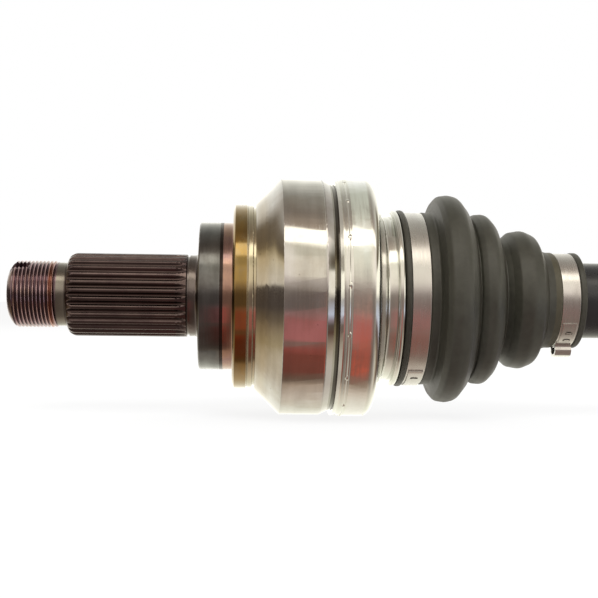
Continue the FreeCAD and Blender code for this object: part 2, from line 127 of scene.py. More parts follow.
class Weave:
    """Adds and joins the nodes of one material, world or group."""

    def __init__(self, tree: bpy.types.NodeTree) -> None:
        """Keeps the tree that the nodes go into."""
        self.tree = tree

    def add(self, kind: str, **settings: object) -> bpy.types.Node:
        """Adds a node.

        Args:
            kind: The node's type without its leading words, such as "TexNoise".
            settings: Properties of the node, set as they are named.

        Returns:
            The new node.
        """
        node = self.tree.nodes.new(("ShaderNode" if not kind.startswith("NodeGroup") else "") + kind)
        for name, value in settings.items():
            setattr(node, name, value)
        return node

    def put(self, socket: bpy.types.NodeSocket, value: object) -> None:
        """Joins a socket to another one, or sets it to a plain value.

        Args:
            socket: The input that takes the value.
            value: An output socket, a number, a colour or a vector.
        """
        if isinstance(value, bpy.types.NodeSocket):
            self.tree.links.new(value, socket)
        elif isinstance(value, tuple) and len(value) == 3 and socket.type == "RGBA":
            socket.default_value = (*value, 1.0)
        else:
            socket.default_value = value

    def math(self, operation: str, *values: object) -> bpy.types.NodeSocket:
        """Works out a sum of numbers or sockets.

        Args:
            operation: The Math node's operation.
            values: Its operands in order.

        Returns:
            The result's socket.
        """
        node = self.add("Math", operation=operation)
        for i, value in enumerate(values):
            self.put(node.inputs[i], value)
        return node.outputs[0]

    def blend(self, share: object, first: object, second: object) -> bpy.types.NodeSocket:
        """Mixes two colours.

        Args:
            share: How much of the second colour shows, from 0 to 1.
            first: A colour or a colour socket.
            second: A colour or a colour socket.

        Returns:
            The mixed colour's socket.
        """
        node = self.add("Mix", data_type="RGBA")
        for socket, value in zip((node.inputs[0], node.inputs[6], node.inputs[7]), (share, first, second)):
            self.put(socket, value)
        return node.outputs[2]

    def ranged(
        self, value: object, low: object, high: object, start: float, end: float
    ) -> bpy.types.NodeSocket:
        """Moves a value smoothly from one range into another.

        Args:
            value: The value that is read.
            low: Where the step begins.
            high: Where the step ends.
            start: The result below the step.
            end: The result above the step.

        Returns:
            The result's socket.
        """
        node = self.add("MapRange", interpolation_type="SMOOTHSTEP")
        for socket, item in zip(node.inputs, (value, low, high, start, end)):
            self.put(socket, item)
        return node.outputs[0]

    def window(
        self, value: object, rise: tuple, fall: tuple, floor: float = 0.0, peak: float = 1.0
    ) -> bpy.types.NodeSocket:
        """A mask that rises over one stretch of a value and falls again over a later one.

        Args:
            value: The value that is read.
            rise: Where the rise begins and ends.
            fall: Where the fall begins and ends.
            floor: The share of the mask that is left outside.
            peak: The mask between the two stretches.

        Returns:
            The mask's socket.
        """
        rising = self.ranged(value, *rise, floor, peak)
        return self.math("MULTIPLY", rising, self.ranged(value, *fall, 1.0, floor))

    def split(self, vector: bpy.types.NodeSocket) -> bpy.types.NodeOutputs:
        """Takes a vector or a colour apart.

        Args:
            vector: The vector's socket.

        Returns:
            The sockets of its three parts.
        """
        apart = self.add("SeparateXYZ")
        self.put(apart.inputs[0], vector)
        return apart.outputs

    def radius(self, y: bpy.types.NodeSocket, z: bpy.types.NodeSocket) -> bpy.types.NodeSocket:
        """Works out how far a place lies from the shaft's axis.

        Args:
            y: The place's part along Y.
            z: The place's part along Z.

        Returns:
            The distance's socket.
        """
        squares = [self.math("MULTIPLY", part, part) for part in (y, z)]
        return self.math("SQRT", self.math("ADD", *squares))

    def bump(self, shader: bpy.types.Node, height: object, strength: float, distance: float) -> None:
        """Lets a pattern raise a material's surface.

        Args:
            shader: The material's Principled shader.
            height: The pattern's socket.
            strength: The Bump node's strength.
            distance: The pattern's full height in millimetres.
        """
        node = self.add("Bump")
        node.inputs["Strength"].default_value = strength
        node.inputs["Distance"].default_value = distance * MM
        self.put(node.inputs["Height"], height)
        self.put(shader.inputs["Normal"], node.outputs[0])

    def place(self, group: bpy.types.NodeTree, **values: object) -> bpy.types.Node:
        """Places a node group.

        Args:
            group: The group to place.
            values: Its inputs by name.

        Returns:
            The group's node.
        """
        node = self.add("Group", node_tree=group)
        for name, value in values.items():
            self.put(node.inputs[name], value)
        return node


def new_group(name: str, inputs: dict[str, tuple[str, object]], outputs: dict[str, str]) -> tuple:
    """Starts a shader node group with named inputs and outputs.

    Args:
        name: The group's name.
        inputs: Socket kind and default by input name.
        outputs: Socket kind by output name.

    Returns:
        The group, its weave, its input node and its output node.
    """
    group = bpy.data.node_groups.new(name, "ShaderNodeTree")
    for label, (kind, default) in inputs.items():
        socket = group.interface.new_socket(label, in_out="INPUT", socket_type="NodeSocket" + kind)
        if default is not None:
            socket.default_value = default
    for label, kind in outputs.items():
        group.interface.new_socket(label, in_out="OUTPUT", socket_type="NodeSocket" + kind)
    weave = Weave(group)
    return group, weave, weave.add("NodeGroupInput"), weave.add("NodeGroupOutput")


class Effects:
    """The effects that several finishes share, each a node group that is built once."""

    def __init__(self) -> None:
        """Builds every group."""
        self.turning = self.build_turning()
        self.mottle = self.build_mottle()
        self.specks = self.build_specks()
        self.span = self.build_span()
        self.depth = self.build_depth()

    def build_turning(self) -> bpy.types.NodeTree:
        """Fine rings that a lathe leaves, on round faces and on end faces.

        Returns:
            The group.
        """
        group, weave, given, result = new_group(
            "turning_marks",
            {"Position": ("Vector", None), "Rings": ("Float", 900.0), "Wander": ("Float", 1.5)},
            {"Marks": "Float", "Coarse": "Float"},
        )
        rings, wander = given.outputs["Rings"], given.outputs["Wander"]
        x, y, z = weave.split(given.outputs["Position"])
        along = weave.math("ADD", x, weave.radius(y, z))
        angle = weave.math("ARCTAN2", z, y)
        for output, share, detail in (("Marks", 1.0, 3.0), ("Coarse", 0.12, 2.0)):
            place = weave.add("CombineXYZ")
            weave.put(place.inputs[0], weave.math("MULTIPLY", along, weave.math("MULTIPLY", rings, share)))
            for part, wave in ((1, "COSINE"), (2, "SINE")):
                weave.put(place.inputs[part], weave.math("MULTIPLY", weave.math(wave, angle), wander))
            noise = weave.add("TexNoise")
            weave.put(noise.inputs["Vector"], place.outputs[0])
            weave.put(noise.inputs["Scale"], 1.0)
            weave.put(noise.inputs["Detail"], detail)
            weave.put(result.inputs[output], noise.outputs[0])
        return group

    def build_mottle(self) -> bpy.types.NodeTree:
        """Soft uneven patches, as of handling, oil and thin plating.

        Returns:
            The group.
        """
        group, weave, given, result = new_group(
            "mottle",
            {
                "Position": ("Vector", None), "Scale": ("Float", 60.0),
                "Low": ("Float", 0.42), "High": ("Float", 0.62),
            },
            {"Mask": "Float"},
        )
        noise = weave.add("TexNoise")
        weave.put(noise.inputs["Vector"], given.outputs["Position"])
        weave.put(noise.inputs["Scale"], given.outputs["Scale"])
        weave.put(noise.inputs["Detail"], 5.0)
        weave.put(noise.inputs["Roughness"], 0.6)
        mask = weave.ranged(noise.outputs[0], given.outputs["Low"], given.outputs["High"], 0.0, 1.0)
        weave.put(result.inputs["Mask"], mask)
        return group

    def build_specks(self) -> bpy.types.NodeTree:
        """Small scattered spots, as of dust, pits and flash rust.

        Returns:
            The group.
        """
        group, weave, given, result = new_group(
            "specks",
            {
                "Position": ("Vector", None), "Scale": ("Float", 400.0),
                "Size": ("Float", 0.16), "Share": ("Float", 0.3),
            },
            {"Mask": "Float"},
        )
        cells = weave.add("TexVoronoi")
        weave.put(cells.inputs["Vector"], given.outputs["Position"])
        weave.put(cells.inputs["Scale"], given.outputs["Scale"])
        near = weave.math("LESS_THAN", cells.outputs["Distance"], given.outputs["Size"])
        chosen = weave.math("LESS_THAN", weave.split(cells.outputs["Color"])[0], given.outputs["Share"])
        weave.put(result.inputs["Mask"], weave.math("MULTIPLY", near, chosen))
        return group

    def build_span(self) -> bpy.types.NodeTree:
        """A mask that is 1 between two places along the shaft and fades at both.

        Returns:
            The group.
        """
        group, weave, given, result = new_group(
            "span_along",
            {
                "Position": ("Vector", None), "Start": ("Float", 0.0),
                "End": ("Float", 0.01), "Fade": ("Float", 0.0003),
            },
            {"Mask": "Float"},
        )
        fade = given.outputs["Fade"]
        rise, fall = (
            (weave.math("SUBTRACT", edge, fade), weave.math("ADD", edge, fade))
            for edge in (given.outputs["Start"], given.outputs["End"])
        )
        along = weave.split(given.outputs["Position"])[0]
        weave.put(result.inputs["Mask"], weave.window(along, rise, fall))
        return group

    def build_depth(self) -> bpy.types.NodeTree:
        """A mask that is 1 near the axis and 0 further out, for the painted shade in roots and gaps.

        Returns:
            The group.
        """
        group, weave, given, result = new_group(
            "depth_from_axis",
            {"Position": ("Vector", None), "Root": ("Float", 0.0), "Crest": ("Float", 0.01)},
            {"Mask": "Float"},
        )
        _, y, z = weave.split(given.outputs["Position"])
        mask = weave.ranged(weave.radius(y, z), given.outputs["Root"], given.outputs["Crest"], 1.0, 0.0)
        weave.put(result.inputs["Mask"], mask)
        return group


def cleared(owner: bpy.types.Material | bpy.types.World) -> Weave:
    """Empties the node tree of a material or a world.

    Args:
        owner: The material or world.

    Returns:
        The empty tree's weave.
    """
    owner.use_nodes = True
    owner.node_tree.nodes.clear()
    return Weave(owner.node_tree)


def new_material(name: str) -> tuple[bpy.types.Material, Weave, bpy.types.Node, bpy.types.NodeSocket]:
    """Starts a material.

    Args:
        name: The material's name.

    Returns:
        The material, its weave, its Principled shader and the Object coordinates.
    """
    material = bpy.data.materials.new(name)
    weave = cleared(material)
    shader = weave.add("BsdfPrincipled")
    output = weave.add("OutputMaterial")
    weave.put(output.inputs["Surface"], shader.outputs[0])
    position = weave.add("TexCoord").outputs["Object"]
    return material, weave, shader, position


@dataclass(frozen=True)
class Tint:
    """A stretch of the shaft where a metal takes another colour, in millimetres along X."""

    start: float
    end: float
    colour: Colour
    fade: float = 0.25
    strength: float = 1.0


@dataclass(frozen=True)
class TurnedMetal:
    """A bare or plated metal with the rings of the lathe, uneven patches and fine spots."""

    name: str
    colour: Colour
    patch_colour: Colour
    roughness: float = 0.2
    patch_roughness: float = 0.34
    rings: float = 1500.0
    ring_depth: float = 0.12
    ring_tone: float = 0.18
    streak_colour: Colour = (0.02, 0.018, 0.016)
    patch_scale: float = 55.0
    patch_low: float = 0.42
    patch_high: float = 0.66
    speck_and_shade_colour: Colour = (0.05, 0.035, 0.025)
    speck_scale: float = 420.0
    speck_share: float = 0.06
    speck_size: float = 0.07
    tints: tuple[Tint, ...] = ()
    root_shade: tuple[float, float, float] | None = None  # painted shade in roots and gaps: root radius, crest radius and share
    film: float = 0.0
    film_roughness: float = 0.08
    film_index: float = 2.0

    def material(self, effects: Effects) -> bpy.types.Material:
        """Builds the material.

        Args:
            effects: The shared node groups.

        Returns:
            The finished material.
        """
        material, weave, shader, position = new_material(self.name)
        turning = weave.place(effects.turning, Position=position, Rings=self.rings)
        patches = weave.place(
            effects.mottle, Position=position,
            Scale=self.patch_scale, Low=self.patch_low, High=self.patch_high,
        )
        specks = weave.place(
            effects.specks, Position=position,
            Scale=self.speck_scale, Share=self.speck_share, Size=self.speck_size,
        )
        colour = weave.blend(patches.outputs[0], self.colour, self.patch_colour)
        # Painted shade: roots and gaps near the axis are darkened towards the speck colour.
        if self.root_shade:
            root, crest, share = self.root_shade
            depth = weave.place(effects.depth, Position=position, Root=root * MM, Crest=crest * MM)
            colour = weave.blend(weave.math("MULTIPLY", depth.outputs[0], share), colour, self.speck_and_shade_colour)
        for tint in self.tints:
            span = weave.place(
                effects.span, Position=position, Start=tint.start * MM, End=tint.end * MM, Fade=tint.fade * MM
            )
            share = weave.math("MULTIPLY", span.outputs[0], tint.strength)
            colour = weave.blend(share, colour, tint.colour)
        streaks = weave.ranged(turning.outputs["Coarse"], 0.3, 0.7, self.ring_tone, 0.0)
        colour = weave.blend(streaks, colour, self.streak_colour)
        colour = weave.blend(specks.outputs[0], colour, self.speck_and_shade_colour)
        weave.put(shader.inputs["Base Color"], colour)
        shader.inputs["Metallic"].default_value = 1.0
        shader.inputs["Coat Weight"].default_value = self.film
        shader.inputs["Coat Roughness"].default_value = self.film_roughness
        shader.inputs["Coat IOR"].default_value = self.film_index
        worn = weave.ranged(patches.outputs[0], 0.0, 1.0, self.roughness, self.patch_roughness)
        ringed = weave.ranged(turning.outputs["Marks"], 0.3, 0.7, -0.02, 0.04)
        weave.put(shader.inputs["Roughness"], weave.math("ADD", worn, ringed))
        weave.bump(shader, turning.outputs["Marks"], self.ring_depth, 0.05)
        return material


@dataclass(frozen=True)
class BootRubber:
    """Moulded rubber: satin, a little dusty in patches, with a fine skin."""

    name: str
    colour: Colour
    dust_colour: Colour
    roughness: float = 0.42
    dust_share: float = 0.3
    grain: float = 0.2

    def material(self, effects: Effects) -> bpy.types.Material:
        """Builds the material.

        Args:
            effects: The shared node groups.

        Returns:
            The finished material.
        """
        material, weave, shader, position = new_material(self.name)
        clouds = weave.place(effects.mottle, Position=position, Scale=38.0, Low=0.35, High=0.75)
        fine = weave.place(effects.mottle, Position=position, Scale=420.0, Low=0.3, High=0.7)
        dust = weave.place(effects.specks, Position=position, Scale=520.0, Size=0.1, Share=0.05)
        haze = weave.math("MULTIPLY", clouds.outputs[0], self.dust_share)
        colour = weave.blend(haze, self.colour, self.dust_colour)
        colour = weave.blend(weave.math("MULTIPLY", fine.outputs[0], 0.18), colour, self.dust_colour)
        colour = weave.blend(weave.math("MULTIPLY", dust.outputs[0], 0.5), colour, self.dust_colour)
        weave.put(shader.inputs["Base Color"], colour)
        rough = weave.ranged(clouds.outputs[0], 0.0, 1.0, self.roughness, self.roughness + 0.14)
        weave.put(shader.inputs["Roughness"], rough)
        shader.inputs["Specular IOR Level"].default_value = 0.5
        weave.bump(shader, fine.outputs[0], self.grain, 0.06)
        return material


@dataclass(frozen=True)
class ShaftPaint:
    """Semi-gloss dip paint with a faint peel and dust."""

    name: str
    colour: Colour
    dust_colour: Colour
    roughness: float = 0.24
    peel: float = 0.12

    def material(self, effects: Effects) -> bpy.types.Material:
        """Builds the material.

        Args:
            effects: The shared node groups.

        Returns:
            The finished material.
        """
        material, weave, shader, position = new_material(self.name)
        peel = weave.place(effects.mottle, Position=position, Scale=260.0, Low=0.3, High=0.7)
        clouds = weave.place(effects.mottle, Position=position, Scale=24.0, Low=0.4, High=0.7)
        dust = weave.place(effects.specks, Position=position, Scale=700.0, Size=0.12, Share=0.08)
        colour = weave.blend(weave.math("MULTIPLY", clouds.outputs[0], 0.25), self.colour, self.dust_colour)
        colour = weave.blend(weave.math("MULTIPLY", dust.outputs[0], 0.6), colour, self.dust_colour)
        weave.put(shader.inputs["Base Color"], colour)
        rough = weave.ranged(clouds.outputs[0], 0.0, 1.0, self.roughness, self.roughness + 0.12)
        weave.put(shader.inputs["Roughness"], rough)
        weave.bump(shader, peel.outputs[0], self.peel, 0.08)
        return material


class Finishes:
    """Every finish on the shaft, made once."""

    def __init__(self, effects: Effects) -> None:
        """Builds the materials.

        Args:
            effects: The shared node groups.
        """
        finishes = (
            TurnedMetal(
                "turned_bell", (0.55, 0.54, 0.525), (0.49, 0.465, 0.43), 0.07, 0.12, 1700.0, 0.09, 0.14,
                tints=(
                    Tint(22.0, 27.0, (0.44, 0.36, 0.24), 2.4, 0.5),
                    # Painted shade: the groove between the drum's chamfer and the cap's lip is darkened.
                    Tint(52.2, 60.0, (0.06, 0.052, 0.045), 0.15, 0.85),
                ),
            ),
            TurnedMetal(
                "dark_shoulder", (0.17, 0.172, 0.17), (0.12, 0.115, 0.11), 0.13, 0.2, 2200.0, 0.14, 0.3,
                speck_share=0.08,
            ),
            TurnedMetal(
                "tinted_shoulder", (0.4, 0.25, 0.19), (0.27, 0.17, 0.165), 0.13, 0.2, 2600.0, 0.12, 0.25,
                speck_share=0.08,
            ),
            TurnedMetal("shoulder_line", (0.06, 0.045, 0.04), (0.02, 0.014, 0.012), 0.25, 0.35),
            TurnedMetal(
                "browned_stub", (0.115, 0.085, 0.081), (0.088, 0.064, 0.064), 0.17, 0.24, 700.0, 0.03, 0.15,
                patch_scale=130.0, speck_and_shade_colour=(0.05, 0.034, 0.031), speck_share=0.05,
                # Painted shade: the spline's gaps darken towards the speck colour.
                root_shade=(15.8, 16.6, 0.7),
                tints=(
                    # Painted highlight: a pale band on the undercut stands in for its bright reflection.
                    Tint(-56.8, -53.4, (0.42, 0.4, 0.34), 0.4, 0.45),
                    Tint(-4.9, 0.3, (0.17, 0.15, 0.14), 0.3, 0.8),
                ),
            ),
            TurnedMetal(
                "rainbow_thread", (0.47, 0.335, 0.365), (0.39, 0.28, 0.26), 0.16, 0.22, 700.0, 0.02, 0.12,
                patch_scale=170.0, speck_and_shade_colour=(0.13, 0.09, 0.105), speck_share=0.05,
                # Painted shade: the thread's roots darken towards the speck colour.
                root_shade=(12.8, 13.4, 0.92),
                tints=(Tint(-59.8, -58.0, (0.44, 0.19, 0.1), 0.6, 0.5),),
            ),
            TurnedMetal(
                "gold_plating", (0.25, 0.145, 0.014), (0.25, 0.165, 0.05), 0.1, 0.17, 1500.0, 0.1, 0.25,
                film=0.45, patch_scale=120.0, speck_share=0.08, speck_and_shade_colour=(0.25, 0.2, 0.13),
                tints=(Tint(18.9, 22.5, (0.5, 0.45, 0.33), 0.15, 0.8),),
            ),
            TurnedMetal(
                "cap_zinc", (0.67, 0.67, 0.63), (0.62, 0.62, 0.58), 0.11, 0.15, 800.0, 0.012, 0.05,
                patch_scale=70.0, speck_share=0.02,
            ),
            TurnedMetal(
                "band_steel", (0.62, 0.61, 0.59), (0.55, 0.53, 0.51), 0.22, 0.28, 1100.0, 0.06, 0.06,
                speck_share=0.02,
            ),
            TurnedMetal(
                "hard_steel", (0.34, 0.33, 0.32), (0.22, 0.21, 0.2), 0.18, 0.28, 1300.0, 0.08, 0.15,
            ),
            TurnedMetal(
                "polished_ball", (0.66, 0.66, 0.66), (0.6, 0.6, 0.6), 0.05, 0.08, 300.0, 0.01, 0.02,
                speck_share=0.0,
            ),
            TurnedMetal(
                "shield_zinc", (0.46, 0.46, 0.43), (0.38, 0.38, 0.35), 0.28, 0.36, 900.0, 0.03, 0.06,
            ),
            TurnedMetal(
                "turned_cup", (0.46, 0.44, 0.41), (0.38, 0.36, 0.32), 0.12, 0.2, 1500.0, 0.12, 0.22,
                tints=(Tint(523.5, 575.0, (0.13, 0.11, 0.105), 0.6, 0.85),),
            ),
            BootRubber("boot_skin", (0.0175, 0.0165, 0.0112), (0.054, 0.051, 0.037)),
            BootRubber("collar_skin", (0.034, 0.029, 0.015), (0.075, 0.064, 0.04), 0.46),
            BootRubber("seal_skin", (0.02, 0.02, 0.02), (0.05, 0.05, 0.05), 0.5),
            ShaftPaint("bar_black", (0.0085, 0.0085, 0.0095), (0.03, 0.03, 0.032)),
        )
        self.by_name = {finish.name: finish.material(effects) for finish in finishes}

    def __getitem__(self, name: str) -> bpy.types.Material:
        """The material of that name."""
        return self.by_name[name]


def rounded(corners: list[Corner], step: float = 10.0) -> list[tuple[float, float]]:
    """Turns corners into an outline whose round stretches are arcs.

    Args:
        corners: Corners as (x, radius) or (x, radius, rounding).
        step: The widest turn between two points of an arc, in degrees.

    Returns:
        The outline's points in order.
    """
    spots = [Vector((c[0], c[1])) for c in corners]
    outline = [spots[0]]
    for i in range(1, len(spots) - 1):
        rounding = corners[i][2] if len(corners[i]) > 2 else 0.0
        to_last = spots[i - 1] - spots[i]
        to_next = spots[i + 1] - spots[i]
        between = (to_last.normalized() + to_next.normalized()).normalized()
        half = to_last.angle(to_next) / 2
        if rounding <= 0 or half > math.radians(89):
            outline.append(spots[i])
            continue
        room = 0.48 * min(to_last.length, to_next.length)
        reach = min(rounding / math.tan(half), room)
        radius = reach * math.tan(half)
        middle = spots[i] + between * (radius / math.sin(half))
        first = spots[i] + to_last.normalized() * reach - middle
        last = spots[i] + to_next.normalized() * reach - middle
        turn = first.angle_signed(last)
        count = max(2, math.ceil(abs(math.degrees(turn)) / step))
        for k in range(count + 1):
            outline.append(middle + Matrix.Rotation(-turn * k / count, 2) @ first)
    outline.append(spots[-1])
    return [(spot.x, spot.y) for spot in outline]


def offset_corners(corners: list[Corner], wall: float) -> list[Corner]:
    """Moves an outline towards the axis by a wall's thickness.

    Args:
        corners: The outer outline's corners, from left to right.
        wall: The wall's thickness.

    Returns:
        The inner outline's corners in the same order.
    """
    moved = []
    for i, corner in enumerate(corners):
        here = Vector(corner[:2])
        sides = []
        if i > 0:
            sides.append((here - Vector(corners[i - 1][:2])).normalized())
        if i < len(corners) - 1:
            sides.append((Vector(corners[i + 1][:2]) - here).normalized())
        normals = [Vector((side.y, -side.x)) for side in sides]
        shift = (normals[0] + normals[-1]) * (wall / (1 + normals[0].dot(normals[-1])))
        rounding = corner[2] if len(corner) > 2 else 0.0
        if len(sides) == 2:
            outward = sides[0].x * sides[1].y - sides[0].y * sides[1].x < 0
            rounding = max(rounding - wall, 0.3) if outward else rounding + wall
        moved.append((here.x + shift.x, here.y + shift.y, rounding))
    return moved


def lathe(outline: list[tuple[float, float]], steps: int = 160, closed: bool = False) -> bmesh.types.BMesh:
    """Turns an outline about the shaft's axis.

    Args:
        outline: Points as (x, radius), in millimetres.
        steps: How many facets go round.
        closed: Whether the last point joins the first one.

    Returns:
        The turned mesh, in metres, with its normals outwards.
    """
    bm = bmesh.new()
    verts = [bm.verts.new((x * MM, 0.0, radius * MM)) for x, radius in outline]
    edges = [bm.edges.new(pair) for pair in zip(verts, verts[1:])]
    if closed:
        edges.append(bm.edges.new((verts[-1], verts[0])))
    bmesh.ops.spin(
        bm, geom=verts + edges, cent=(0, 0, 0), axis=(1, 0, 0), dvec=(0, 0, 0), angle=2 * math.pi,
        steps=steps, use_merge=True,
    )
    bmesh.ops.remove_doubles(bm, verts=bm.verts, dist=1e-7)
    bmesh.ops.recalc_face_normals(bm, faces=bm.faces)
    return bm


def add_piece(
    bm: bmesh.types.BMesh, name: str, materials: list[bpy.types.Material], sharp: float = 32.0
) -> bpy.types.Object:
    """Makes an object of a mesh.

    Args:
        bm: The mesh, which is freed.
        name: The piece's name.
        materials: Its materials in the order of the faces' indices.
        sharp: The angle in degrees past which an edge is sharp.

    Returns:
        The new object at the origin.
    """
    mesh = bpy.data.meshes.new(name)
    bm.to_mesh(mesh)
    bm.free()
    mesh.shade_smooth()
    mesh.set_sharp_from_angle(angle=math.radians(sharp))
    for material in materials:
        mesh.materials.append(material)
    obj = bpy.data.objects.new(name, mesh)
    bpy.context.scene.collection.objects.link(obj)
    LOG.info("made %s with %d faces", name, len(mesh.polygons))
    return obj


def cut_across(
    bm: bmesh.types.BMesh, place: float, facing: float = 1.0, dist: float = 0.0, **clear: bool
) -> list[bmesh.types.BMEdge]:
    """Cuts a mesh with a plane across the shaft.

    Args:
        bm: The mesh.
        place: Where the plane stands, in millimetres along X.
        facing: 1 for a plane that looks towards the gearbox, -1 towards the wheel.
        dist: How near the plane a point has to be to count as on it, in metres.
        clear: The side that goes, as the operator names it.

    Returns:
        The edges on the plane.
    """
    cut = bmesh.ops.bisect_plane(
        bm, geom=[*bm.verts, *bm.edges, *bm.faces], dist=dist,
        plane_co=(place * MM, 0, 0), plane_no=(facing, 0, 0), **clear,
    )
    return [item for item in cut["geom_cut"] if isinstance(item, bmesh.types.BMEdge)]


def frame_copy(frame: dict, node: str) -> bmesh.types.BMesh:
    """A copy of a node's mesh with its double points joined.

    Args:
        frame: The loaded frame.
        node: The node's name.

    Returns:
        The copy.
    """
    bm = bmesh.new()
    bm.from_mesh(frame["nodes"][node].data)
    bmesh.ops.remove_doubles(bm, verts=bm.verts, dist=1e-6)
    return bm


def carve(obj: bpy.types.Object, cutters: list[bmesh.types.BMesh], sharp: float = 32.0) -> None:
    """Cuts closed shapes out of a piece.

    Args:
        obj: The piece that is cut.
        cutters: The shapes, which are freed.
        sharp: The angle in degrees past which an edge of the result is sharp.
    """
    for bm in cutters:
        mesh = bpy.data.meshes.new("cutter")
        bm.to_mesh(mesh)
        bm.free()
        tool = bpy.data.objects.new("cutter", mesh)
        bpy.context.scene.collection.objects.link(tool)
        cut = obj.modifiers.new("cut", "BOOLEAN")
        cut.operation = "DIFFERENCE"
        cut.solver = "EXACT"
        cut.object = tool
        bpy.context.view_layer.update()
        result = bpy.data.meshes.new_from_object(obj.evaluated_get(bpy.context.evaluated_depsgraph_get()))
        obj.modifiers.clear()
        old = obj.data
        obj.data = result
        result.name = obj.name
        bpy.data.meshes.remove(old)
        bpy.data.objects.remove(tool)
        bpy.data.meshes.remove(mesh)
    obj.data.shade_smooth()
    obj.data.set_sharp_from_angle(angle=math.radians(sharp))


